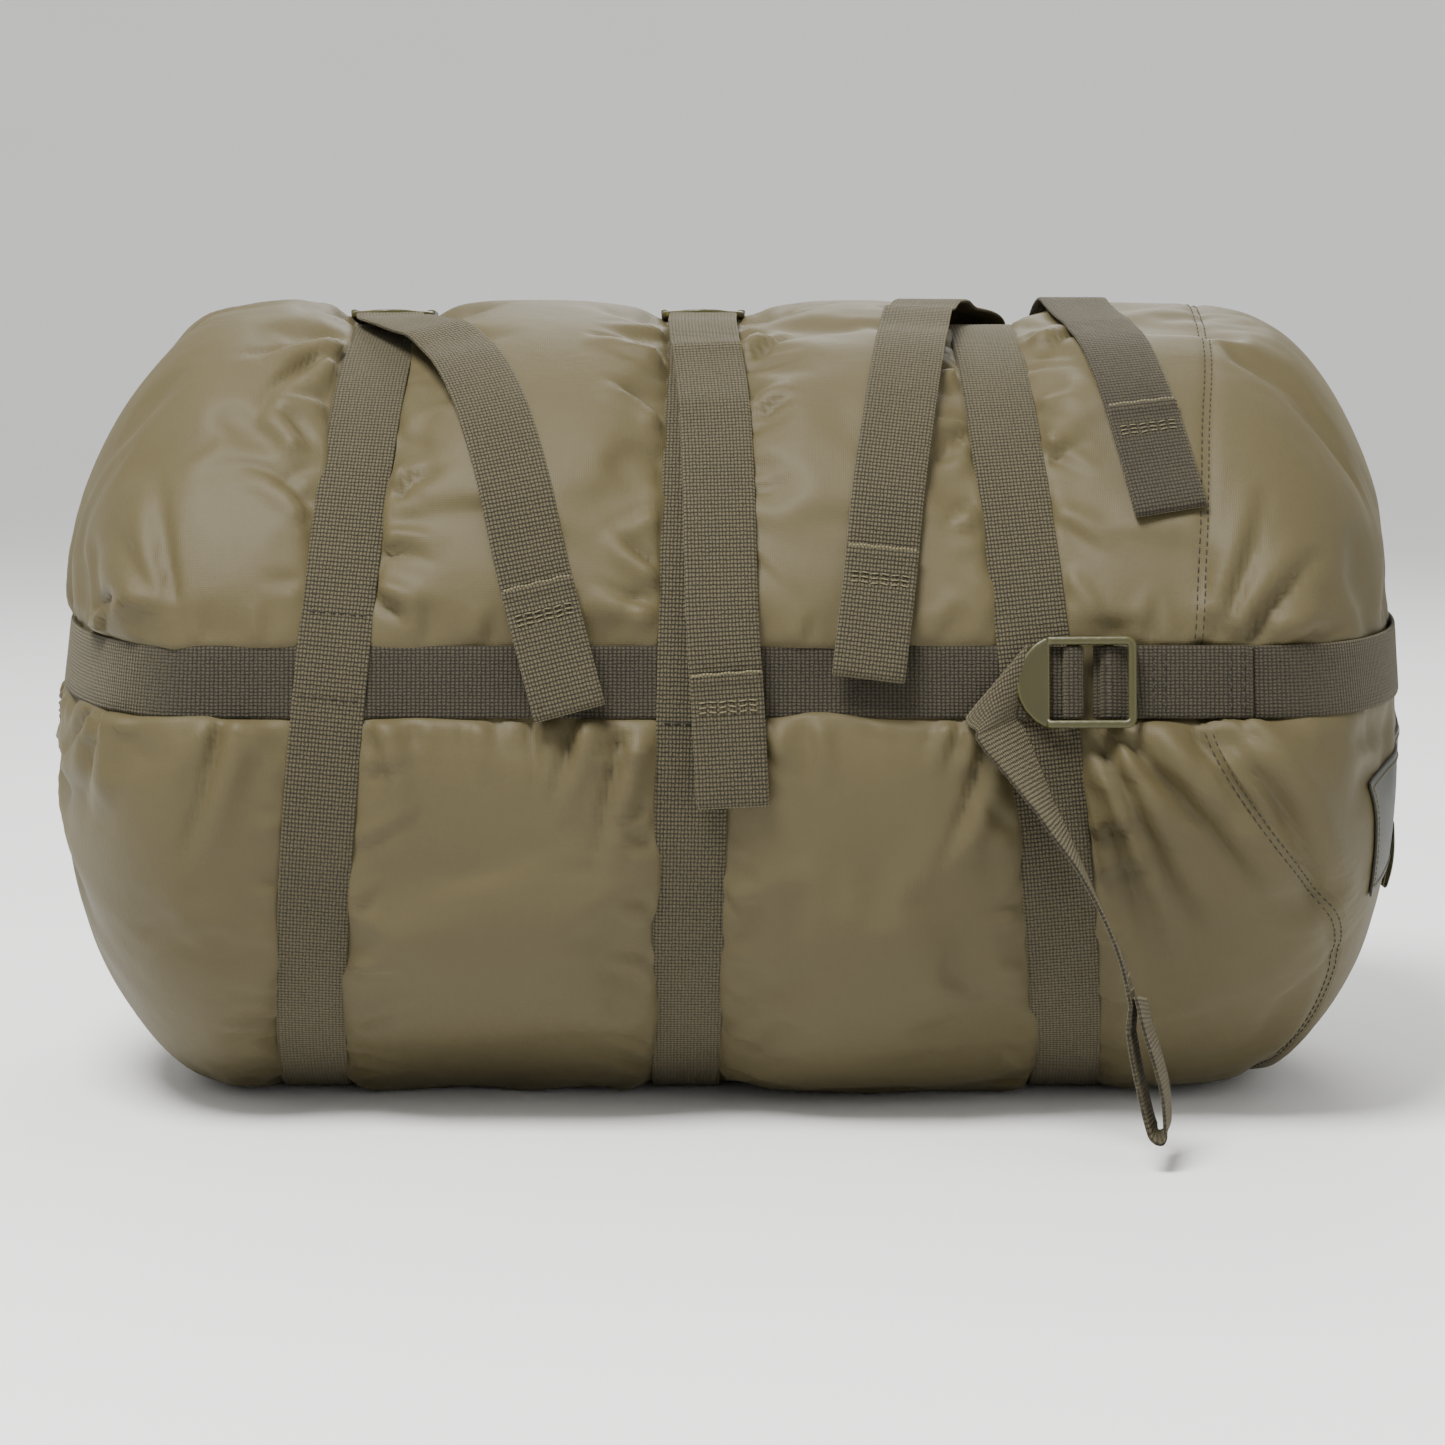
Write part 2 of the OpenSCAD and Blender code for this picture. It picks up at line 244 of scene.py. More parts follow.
def sideways(out, points):
    """Across a strap whose course and outward directions are given."""
    return unit(np.cross(out, headings(points)))


# Webbing's cross-section: share of the width across, share of the thickness up
SECTION = [(-0.5, 0.5), (-0.492, 0.85), (-0.465, 1), (-0.3, 1.02), (-0.1, 1), (0.1, 1),
           (0.3, 1.02), (0.465, 1), (0.492, 0.85), (0.5, 0.5), (0.492, 0.15), (0.465, 0),
           (0.3, -0.02), (0.1, 0), (-0.1, 0), (-0.3, -0.02), (-0.465, 0), (-0.492, 0.15)]


def webbing(name, points, out, width=WEB, thick=WEB_T, side=None, level_end=0):
    """A strap whose inner face runs through points and faces away from out.

    side, if given, says how the strap lies across at each point, as a slanted end does. The
    weave's rows are then level at the other end, 0 for the first and -1 for the last.
    Its UV map runs along the strap and across it, in millimetres.
    """
    points, out = np.asarray(points, float), np.asarray(out, float)
    slanted = side is not None
    side = side if slanted else sideways(out, points)
    up = unit(np.cross(headings(points), side))
    across = np.array([s[0] for s in SECTION]) * width
    rise = np.array([s[1] for s in SECTION]) * thick
    rings = (points[:, None] + side[:, None] * across[None, :, None]
             + up[:, None] * rise[None, :, None])
    k = len(SECTION)
    run = np.repeat(walked(points)[:, None], k, axis=1)
    if slanted:
        steps = np.linalg.norm(np.diff(rings, axis=0), axis=-1)
        run = np.concatenate([0 * steps[:1], np.cumsum(steps, axis=0)])
        run = run - run[level_end]
    corners, faces = loft(rings)
    uvs = [(run[v // k, v % k], across[v % k]) for face in faces for v in face]
    return new_object(name, corners, faces, uvs)


# ---------------------------------------------------------------- the tails' routes
def exit_station(site, on=0.0, out=0.0):
    """Where a girth strap's tail comes out under the tab, and a point further on."""
    x, deg, heading, pitch = site
    pitch, heading = math.radians(pitch), math.radians(heading)
    far = RADIUS + BAR_OUT - EXIT_X * math.sin(pitch) + EXIT_Z * math.cos(pitch) + out
    along = EXIT_X * math.cos(pitch) + EXIT_Z * math.sin(pitch) + on
    round_it = -along * math.sin(heading)
    return [x + along * math.cos(heading), deg + math.degrees(math.atan(round_it / far)),
            math.hypot(round_it, far) - RADIUS - WEB_T / 2]


def tail_route(name, rest):
    return [exit_station(SITES[name]), exit_station(SITES[name], 5, -0.2)] + rest


ROUTES = {
    "left": tail_route("left", [
        [-122.6, 6, 4.6], [-119, 10, 5.8], [-113, 14.2, 7], [-105.8, 18.6, 8.2],
        [-98, 23.4, 8.6], [-89.8, 31, 8], [-81.5, 40.5, 7], [-73.5, 52, 6.2],
        [-66.5, 64, 6], [-60, 74, 6], [-53.5, 83.5, 6.4]]),
    "middle": tail_route("middle", [
        [-8.3, 7, 4.6], [-8.2, 11, 5.2], [-7.8, 16, 5.6], [-7, 22, 6], [-5, 31, 5.6],
        [-3, 44, 5.2], [-2, 57, 5.2], [-1, 72, 5.6], [1, 84, 5.8], [2.5, 96, 5.6]]),
    "right": tail_route("right", [
        [93.9, -15.3, 5.6], [91, -11.9, 6.2], [86, -8, 6.4], [80, -3.5, 6.4],
        [75, 2, 6.2], [71.3, 9, 6], [68.5, 17, 6], [65, 28, 6], [61, 40, 6],
        [56.5, 53, 6], [53, 66, 6], [49, 79, 6.4]]),
    "rear": [
        [86, -74.3, 3.5], [86, -72, 3.9], [87.6, -67.5, 4.6], [92.5, -62.5, 5.4],
        [100, -57.5, 6], [109, -52, 6], [118, -46.5, 6], [124.5, -41, 6],
        [128, -34, 6], [128.8, -24, 6], [129, -12, 6], [130, 0, 6], [135, 14, 6],
        [140.5, 28, 6], [146, 41, 6], [153, 56, 6.4]],
}
# The front tail hangs free: [x, y, z, degrees that its face is turned to the right]
FRONT_ROUTE = [
    [92, -150.4, 147.6, 50], [94.7, -151.4, 143, 53], [97.8, -152.5, 138, 58],
    [102, -153.9, 131, 64], [106, -155.1, 124, 70], [111, -156.4, 115.5, 76],
    [119.2, -157.4, 101.5, 84], [127, -158.4, 85.5, 87], [134, -160.5, 69, 84],
    [138, -163, 54, 80]]
# Its pull loop, as [x, y, z], is bent round the webbing's width
PULL_ROUTE = [
    [136.6, -162.5, 57], [137.2, -164.5, 46], [139, -166, 35], [141.4, -167.5, 24],
    [143.6, -169, 15], [145.2, -169.5, 11.2], [148, -169.6, 9.8], [150.4, -169.4, 12],
    [150.8, -169, 17], [150, -168, 26], [147.6, -166.5, 36], [144.2, -165, 47],
    [141.8, -162.5, 57]]
PULL_WIDTH = np.array([math.sin(math.radians(10)), math.cos(math.radians(10)), 0])
PULL_LOOP = 43


def front_line():
    """The front tail's course and its facing."""
    return catmull(FRONT_ROUTE, 6)


def turned(route):
    turn = np.radians(np.array(route, float)[:, 3])
    return np.stack([np.sin(turn), -np.cos(turn), 0 * turn], -1)


# ---------------------------------------------------------------- materials
def new_material(name, roughness, **sockets):
    """A material, whose shader sockets are given with _ for a space, and its node tree."""
    material = bpy.data.materials.new(name)
    material.use_nodes = True
    shader = material.node_tree.nodes["Principled BSDF"]
    shader.inputs["Roughness"].default_value = roughness
    for socket, value in sockets.items():
        shader.inputs[socket.replace("_", " ")].default_value = value
    return material, material.node_tree


def fill(tree, socket, value):
    """Links a socket to an output, or sets it to a plain value."""
    if hasattr(value, "is_output"):
        tree.links.new(value, socket)
    else:
        socket.default_value = value


def add(tree, kind, inputs=(), **settings):
    node = tree.nodes.new("ShaderNode" + kind)
    for key, value in settings.items():
        setattr(node, key, value)
    for socket, value in dict(inputs).items():
        fill(tree, node.inputs[socket], value)
    return node


def finish(tree, **sockets):
    """Links outputs to the shader's sockets."""
    for socket, value in sockets.items():
        tree.links.new(value, tree.nodes["Principled BSDF"].inputs[socket.replace("_", " ")])


def colour_mix(tree, factor, a, b):
    node = add(tree, "Mix", data_type="RGBA")
    for number, value in ((0, factor), (6, a), (7, b)):
        fill(tree, node.inputs[number], value)
    return node.outputs[2]


def maths(tree, operation, a, b=0.0, c=0.0, clamp=False):
    node = add(tree, "Math", {0: a, 1: b, 2: c}, operation=operation)
    node.use_clamp = clamp
    return node.outputs[0]


def times(tree, a, b):
    return maths(tree, "MULTIPLY", a, b)


def wave(tree, value):
    """Rounded humps: the size of the sine."""
    return maths(tree, "ABSOLUTE", maths(tree, "SINE", value))


def object_place(tree):
    return add(tree, "TexCoord").outputs["Object"]


def noise(tree, place, scale, detail=2, output="Fac", **more):
    return add(tree, "TexNoise", {"Vector": place, "Scale": scale, "Detail": detail,
                                  **more}).outputs[output]


def bump(tree, height, strength, distance, **more):
    return add(tree, "Bump", {"Strength": strength, "Distance": distance, "Height": height,
                              **more}).outputs[0]


def cloth_place(tree, scale=1.0):
    """The UV map in millimetres, as x along and y across."""
    uv = add(tree, "UVMap", uv_map="cloth")
    scaled = add(tree, "VectorMath", {0: uv.outputs[0], 1: (scale,) * 3}, operation="MULTIPLY")
    return scaled.outputs[0]


def rgb(r, g, b):
    """A display colour out of 255 as a linear one."""
    made = [(c / 255 / 12.92) if c < 11 else ((c / 255 + 0.055) / 1.055) ** 2.4
            for c in (r, g, b)]
    return (*made, 1)


def nylon():
    """Satin olive nylon with a fine plain weave and a slightly uneven dye."""
    material, tree = new_material("olive_nylon", 0.5, Sheen_Weight=0.08, Sheen_Roughness=0.4,
                                  Sheen_Tint=rgb(190, 180, 140), Specular_IOR_Level=0.24)
    place = object_place(tree)
    cloud, grain = noise(tree, place, 9, 4), noise(tree, place, 700)
    tone = maths(tree, "MULTIPLY_ADD", cloud, 0.6, 0.5)
    mixed = maths(tree, "ADD", tone, times(tree, grain, 0.35))
    weave = cloth_place(tree)
    warp, weft = (add(tree, "TexWave", {"Vector": weave, "Scale": 0.42, "Distortion": 0.3},
                      bands_direction=way).outputs["Fac"] for way in "XY")
    height = maths(tree, "ADD", times(tree, warp, weft), grain)
    creased = bump(tree, noise(tree, place, 42, 4, Distortion=0.6), 0.35, 0.0014)
    finish(tree, Base_Color=colour_mix(tree, mixed, rgb(58, 51, 32), rgb(76, 68, 44)),
           Normal=bump(tree, height, 0.18, 0.0003, Normal=creased),
           Roughness=maths(tree, "MULTIPLY_ADD", cloud, 0.12, 0.52))
    return material


# Millimetres between the webbing's rows and between its columns
WEAVE_ALONG, WEAVE_ACROSS = 1.5, 1.2


def web_material(name, dark, light):
    """Ribbed webbing: rows of weft across columns of warp, with painted shade darkening the
    gaps between them.
    """
    material, tree = new_material(name, 0.78, Sheen_Weight=0.35, Sheen_Roughness=0.5,
                                  Sheen_Tint=rgb(170, 160, 130), Specular_IOR_Level=0.25)
    place = cloth_place(tree)
    uneven = noise(tree, place, 0.55, 1, "Color")
    drift = add(tree, "VectorMath", {0: uneven, 1: (0.7, 0.7, 0)}, operation="MULTIPLY")
    moved = add(tree, "VectorMath", {0: place, 1: drift.outputs[0]}, operation="ADD")
    split = add(tree, "SeparateXYZ", {0: moved.outputs[0]})
    rib, ridge = (wave(tree, times(tree, times(tree, split.outputs[axis], 1 / pitch), math.pi))
                  for axis, pitch in ((0, WEAVE_ALONG), (1, WEAVE_ACROSS)))
    height = times(tree, maths(tree, "POWER", rib, 0.6), maths(tree, "POWER", ridge, 0.5))
    fuzz, blot = noise(tree, place, 1.7, 3), noise(tree, place, 0.05, 3)
    # Painted shade: where the weave is low, between its rows and columns, the colour goes
    # towards the near-black first colour.
    rib_gap_shade = add(tree, "MapRange", {0: height, 1: 0.26, 2: 0.97}).outputs[0]
    tone = maths(tree, "ADD", times(tree, rib_gap_shade, maths(tree, "ADD", fuzz, 0.4)),
                 times(tree, blot, 0.14))
    share = maths(tree, "MULTIPLY", tone, 0.95, clamp=True)
    rough = maths(tree, "ADD", height, times(tree, fuzz, 0.3))
    finish(tree, Base_Color=colour_mix(tree, share, rgb(*dark), rgb(*light)),
           Normal=bump(tree, rough, 0.8, 0.0005))
    return material


def plastic():
    """Moulded acetal with a faint grain, and a painted highlight that lightens its edges."""
    material, tree = new_material("olive_plastic", 0.36, Specular_IOR_Level=0.42)
    place = object_place(tree)
    grain, cloud = noise(tree, place, 1800), noise(tree, place, 60, 3)
    # Painted highlight: the most convex edges are mixed towards a paler olive.
    highlight_pointiness = add(tree, "NewGeometry").outputs["Pointiness"]
    edge = add(tree, "MapRange", {0: highlight_pointiness, 1: 0.5, 2: 0.62}).outputs[0]
    base = colour_mix(tree, cloud, rgb(43, 40, 17), rgb(53, 50, 23))
    finish(tree, Base_Color=colour_mix(tree, edge, base, rgb(92, 88, 40)),
           Normal=bump(tree, grain, 0.12, 0.0002),
           Roughness=maths(tree, "MULTIPLY_ADD", grain, 0.2, 0.28))
    return material


def woven(name, dark, light, pitch):
    """Close plain-woven tape, with threads pitch millimetres apart."""
    material, tree = new_material(name, 0.62, Sheen_Weight=0.2, Specular_IOR_Level=0.3)
    split = add(tree, "SeparateXYZ", {0: cloth_place(tree, math.pi / pitch)})
    height = times(tree, wave(tree, split.outputs[0]), wave(tree, split.outputs[1]))
    cloud = noise(tree, cloth_place(tree), 0.4, 4)
    tone = maths(tree, "ADD", times(tree, height, 0.6), times(tree, cloud, 0.5), clamp=True)
    finish(tree, Base_Color=colour_mix(tree, tone, rgb(*dark), rgb(*light)),
           Normal=bump(tree, height, 0.5, 0.0002))
    return material


def brass():
    """Brass with dull patches and fine scratches."""
    material, tree = new_material("dulled_brass", 0.35, Metallic=1.0)
    cloud = noise(tree, object_place(tree), 500, 4)
    finish(tree, Base_Color=colour_mix(tree, cloud, rgb(104, 84, 46), rgb(172, 146, 88)),
           Normal=bump(tree, cloud, 0.2, 0.0001),
           Roughness=maths(tree, "MULTIPLY_ADD", cloud, 0.5, 0.5))
    return material


def thread_material(name, tone):
    material, tree = new_material(name, 0.6, Sheen_Weight=0.1, Specular_IOR_Level=0.25)
    twist = noise(tree, object_place(tree), 2600)
    darker = tuple(int(c * 0.72) for c in tone)
    finish(tree, Base_Color=colour_mix(tree, twist, rgb(*darker), rgb(*tone)))
    return material


NYLON = nylon()
# In both webbing tones the near-black first colour is the painted shade in the gaps of the
# weave.
WEBBING = web_material("ribbed_webbing", (7, 6, 4), (81, 74, 53))
BELT_WEBBING = web_material("belt_webbing", (7, 6, 4), (59, 53, 39))
PLASTIC = plastic()
THREAD = thread_material("olive_thread", (112, 104, 74))
DARK_THREAD = thread_material("dark_thread", (36, 32, 22))
LABEL_TAPE = woven("label_tape", (26, 27, 16), (46, 46, 30), 0.45)
TAG_TAPE = woven("tag_tape", (96, 92, 58), (142, 137, 94), 0.5)
FILLING = woven("filling_cloth", (20, 22, 14), (40, 42, 28), 0.8)
BRASS = brass()


def dress(obj, material, body=None, replaces=()):
    """Gives a piece its material and body, and hides the CAD nodes it stands for."""
    obj.data.materials.clear()
    obj.data.materials.append(material)
    if body:
        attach(obj, body)
    if replaces:
        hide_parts(*replaces)
    return obj


# ---------------------------------------------------------------- locks' places
def lock_axes(name, pitched=True):
    """A lock's origin and its axes: towards the tab, across, and off the sack."""
    x, deg, heading, pitch = SITES[name]
    a, h, p = math.radians(deg), math.radians(heading), math.radians(pitch if pitched else 0)
    roll = np.array([[1, 0, 0], [0, math.cos(a), -math.sin(a)],
                     [0, math.sin(a), math.cos(a)]])
    yaw = np.array([[math.cos(h), -math.sin(h), 0], [math.sin(h), math.cos(h), 0],
                    [0, 0, 1]])
    tip = np.array([[math.cos(p), 0, math.sin(p)], [0, 1, 0],
                    [-math.sin(p), 0, math.cos(p)]])
    far = RADIUS + BAR_OUT
    origin = np.array([x, -far * math.sin(a), AXIS + far * math.cos(a)])
    return origin, roll @ yaw @ tip


def in_lock(name, points, pitched=True):
    origin, axes = lock_axes(name, pitched)
    return origin + np.asarray(points, float) @ axes.T


def lock_direction(name, vectors, pitched=True):
    return np.asarray(vectors, float) @ lock_axes(name, pitched)[1].T


def upright(outline):
    """A lock's [x, z] outline as points in its own frame."""
    return np.stack([outline[:, 0], 0 * outline[:, 0], outline[:, 1]], -1)


def strap_in_lock(name, path, out, pitched=True):
    """A strap's [x, z] course in a lock and its outward directions, placed on the sack."""
    return in_lock(name, upright(path), pitched), lock_direction(name, upright(out), pitched)


def blend_at_lock(obj, name, start, end, pitched=True):
    """Bakes a piece's placement into its mesh."""
    start, end = in_lock(name, [start, end], pitched) * MM
    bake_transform(obj)


def web_of(name):
    return WEBBING if name in PLANES else BELT_WEBBING


# ---------------------------------------------------------------- the fabric's grid
AROUND = 224
END_RINGS = AROUND // 8
RIM = STRAIGHT + 15
# The seam's course round the sack: [degrees, distance along the sack]. Packing has dragged
# it towards the end below the belt at the front.
SEAM_COURSE = [(0, 175), (29, 173), (40, 169), (52, 167), (62, 165), (74, 163), (86, 162),
               (95, 177), (105, 194), (113, 208), (120, 219), (135, 218), (160, 196),
               (190, 178), (270, 172), (330, 174), (360, 175)]


def eased(value, low, high):
    """0 below low, 1 above high, and smooth between."""
    t = np.clip((value - low) / (high - low), 0, 1)
    return t * t * (3 - 2 * t)


def seam_at(deg):
    course = np.array(SEAM_COURSE, float)
    spread = [np.interp(deg + d, course[:, 0], course[:, 1], period=360)
              for d in (-6, -3, 0, 3, 6)]
    return np.mean(spread, axis=0)


def dragged(m, deg):
    """A place on the sack after packing has dragged its seam."""
    window = eased(m, 100, SEAM) * (1 - eased(m, SEAM, PROFILE_END[1] - 20))
    return m + (seam_at(deg) - SEAM) * window


def lumps(points, size, seed, count=30):
    """Smooth unevenness, mostly between -1 and 1, in lumps of about that size."""
    draw = np.random.default_rng(seed)
    waves = draw.normal(size=(count, 3)) * 1.6 / size
    phase = draw.uniform(0, 2 * math.pi, count)
    return np.sin(points @ waves.T + phase).sum(1) / math.sqrt(count)


def sack_grid():
    """[m, degrees] of each point of the sack, its quads, and which are the end panel's."""
    rings = np.concatenate([np.linspace(-RIM, SEAM, 88),
                            np.linspace(SEAM, RIM, 5)[1:]])
    places = [(m, 360 * j / AROUND) for m in rings for j in range(AROUND)]
    quads = tube_faces(len(rings), AROUND)
    panel = [m >= SEAM - 0.01 for m in rings[:-1] for j in range(AROUND)]
    for end in (-1, 1):
        first = 0 if end < 0 else (len(rings) - 1) * AROUND
        index = {}
        for a in range(-END_RINGS, END_RINGS + 1):
            for b in range(-END_RINGS, END_RINGS + 1):
                ring = max(abs(a), abs(b))
                if abs(a) >= abs(b):
                    turn = 45 * b / a if a else 0
                    turn += 180 if a < 0 else 0
                else:
                    turn = 90 - 45 * a / b
                    turn += 180 if b < 0 else 0
                turn %= 360
                if ring == END_RINGS:
                    index[a, b] = first + round(turn / 360 * AROUND) % AROUND
                else:
                    index[a, b] = len(places)
                    far = PROFILE_END[end]
                    places.append((end * (far - (far - RIM) * ring / END_RINGS), turn))
        for a in range(-END_RINGS, END_RINGS):
            for b in range(-END_RINGS, END_RINGS):
                quad = [(a, b), (a + 1, b), (a + 1, b + 1), (a, b + 1)]
                if end < 0 and max(max(abs(p), abs(q)) for p, q in quad) <= 2:
                    continue
                quad = quad if end > 0 else quad[::-1]
                quads.append(tuple(index[p] for p in quad))
                panel.append(end > 0)
    return np.array(places, float), quads, np.array(panel)


def strap_gap(points, name):
    """Each point's distance from the edge of a girth strap, less than 0 under it."""
    lean = math.atan((PLANES[name][0] - PLANES[name][1]) / (2 * AXIS))
    return np.abs(points[:, 0] - plane_x(name, points[:, 2])) * math.cos(lean) - WEB / 2


def belt_gap(points):
    return np.abs(points[:, 2] - BELT_Z) - WEB / 2


def webbing_gap(points):
    """Each point's distance from the edge of the nearest webbing."""
    return np.min([belt_gap(points)] + [strap_gap(points, n) for n in PLANES], axis=0)


# The fabric's rise between the straps and how soon it is reached; the lips beside them
PUFF, PUFF_REACH = 7.6, 6.0
LIP, LIP_AT, LIP_WIDE = 2.6, 4.0, 3.2
# The room kept for a lock: behind its bar, ahead of it, and to either side
LOCK_ROOM = (-11, 36, 17)
# Nearer to a strap than this, the fabric is under it
UNDER = 0.6


def lock_clearance(points):
    """0 beside a lock and 1 away from it, so that the fabric leaves room for it."""
    free = np.ones(len(points))
    for name in SITES:
        origin, axes = lock_axes(name, False)
        local = (points - origin) @ axes
        back, front, half = LOCK_ROOM
        past = np.maximum(np.maximum(back - local[:, 0], local[:, 0] - front),
                          np.abs(local[:, 1]) - half)
        past = np.where(np.abs(local[:, 2]) < 40, past, 99)
        free = np.minimum(free, eased(past, 0, 9))
    return free


def puffed(points):
    """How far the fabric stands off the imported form, before its folds."""
    gap = webbing_gap(points)
    rise = PUFF * (1 - np.exp(-np.clip(gap, 0, None) / PUFF_REACH))
    rise += lumps(points, 95, 3) * 1.3 * eased(gap, 0, 25)
    rise += lumps(points, 16, 8) * 0.7 * eased(gap, 0, 5) * (1 - eased(gap, 8, 22))
    rise *= 0.12 + 0.88 * lock_clearance(points)
    rise *= 1 - end_share(points)
    under = np.where(belt_gap(points) < UNDER, -1.9, -0.35)
    return np.where(gap < UNDER, under, rise)


def end_share(points):
    """0 on the sack's straight part, 1 on its ends."""
    most = np.where(points[:, 0] < 0, 0.7, 1.0)
    return most * eased(np.abs(points[:, 0]), STRAIGHT - 5, HALF - 12)


def lip_at(gap):
    return np.where(gap > UNDER, np.exp(-((gap - LIP_AT) / LIP_WIDE) ** 2), 0)


def leaned(points):
    """The fabric's lips beside the webbing, leaning unevenly over its edges."""
    size = LIP * (1 + 0.55 * lumps(points, 22, 5)) * lock_clearance(points)
    made = points.copy()
    for name in PLANES:
        gap = strap_gap(points, name)
        side = np.sign(points[:, 0] - plane_x(name, points[:, 2]))
        lean = lip_at(gap)
        made[:, 0] -= side * size * lean * eased(points[:, 2], 2, 14)
    gap = belt_gap(points)
    lean = lip_at(gap)
    made[:, 2] -= np.sign(points[:, 2] - BELT_Z) * size * 0.8 * lean
    return made


# How far the corners lift off the floor, at each x
CORNER_LIFT = ([-245, -216, -190, -165, 145, 193, 227, 248], [0, 6, 6, 0, 0, 8, 4, 0])


def corners_lifted(points):
    lift = np.interp(points[:, 0], *CORNER_LIFT)
    made = points.copy()
    made[:, 2] += lift * (1 - eased(points[:, 2], 5, 100))
    return made


CLOTH = {"quality": 5, "mass": 0.05, "tension_stiffness": 30, "compression_stiffness": 30,
         "shear_stiffness": 8, "bending_stiffness": 0.4, "vertex_group_mass": "held",
         "shrink_min": -0.06, "use_pressure": True, "uniform_pressure_force": 5.0}
CLOTH_FRAMES, MOST_MOVED = 22, 9.0


def inflate(obj, held, start):
    """Runs the cloth simulation on the fabric, held where the webbing clamps it."""
    group = obj.vertex_groups.new(name="held")
    group.add([int(i) for i in np.flatnonzero(held)], 1, "REPLACE")
    modifier = obj.modifiers.new("cloth", "CLOTH")
    for setting, value in CLOTH.items():
        setattr(modifier.settings, setting, value)
    modifier.settings.effector_weights.gravity = 0
    modifier.collision_settings.use_collision = False
    modifier.point_cache.frame_end = CLOTH_FRAMES
    for number in range(1, CLOTH_FRAMES + 1):
        bpy.context.scene.frame_set(number)
    seen = obj.evaluated_get(bpy.context.evaluated_depsgraph_get())
    moved = mesh_data(seen.data.vertices) / MM - start
    obj.modifiers.remove(modifier)
    bpy.context.scene.frame_set(1)
    length = np.linalg.norm(moved, axis=1, keepdims=True)
    moved *= np.minimum(1, MOST_MOVED / np.maximum(length, 1e-6))
    return start + moved


# ---------------------------------------------------------------- folds
def fold_field(points, course, wide, high, sharp=1.0):
    """How much one fold lifts each point: a ridge beside a crease, fading along it.

    course is [x, degrees] points from where the cloth is pinched to where the fold dies.
    """
    line = catmull(course, 8)
    line = np.stack([line[:, 0], np.radians(line[:, 1]) * RADIUS], -1)
    turn = np.degrees(np.arctan2(-points[:, 1], points[:, 2] - AXIS)) % 360
    middle = np.mean(np.array(course)[:, 1])
    turn = (turn - middle + 180) % 360 - 180 + middle
    spot = np.stack([points[:, 0], np.radians(turn) * RADIUS], -1)
    near = np.flatnonzero(np.all((spot > line.min(0) - 3 * wide)
                                 & (spot < line.max(0) + 3 * wide), axis=1))
    lift = np.zeros(len(points))
    if not len(near):
        return lift
    away = spot[near, None] - line[None]
    reach = np.linalg.norm(away, axis=2)
    best = reach.argmin(1)
    along = headings(line)[best]
    offset = np.take_along_axis(away, best[:, None, None], 1)[:, 0]
    across = along[:, 0] * offset[:, 1] - along[:, 1] * offset[:, 0]
    u = across / wide
    beyond = np.sqrt(np.maximum((offset ** 2).sum(1) - across ** 2, 0)) / wide
    run = walked(line)
    share = run[best] / run[-1]
    fade = (1 - share ** 1.5) * eased(share, -0.05, 0.1) * np.exp(-beyond ** 2 * 2)
    ridge = np.exp(-(u / 0.75) ** 2)
    crease = np.exp(-((u - 1.0) / (0.42 / sharp)) ** 2)
    lift[near] = high * fade * (ridge - 0.85 * crease)
    return lift


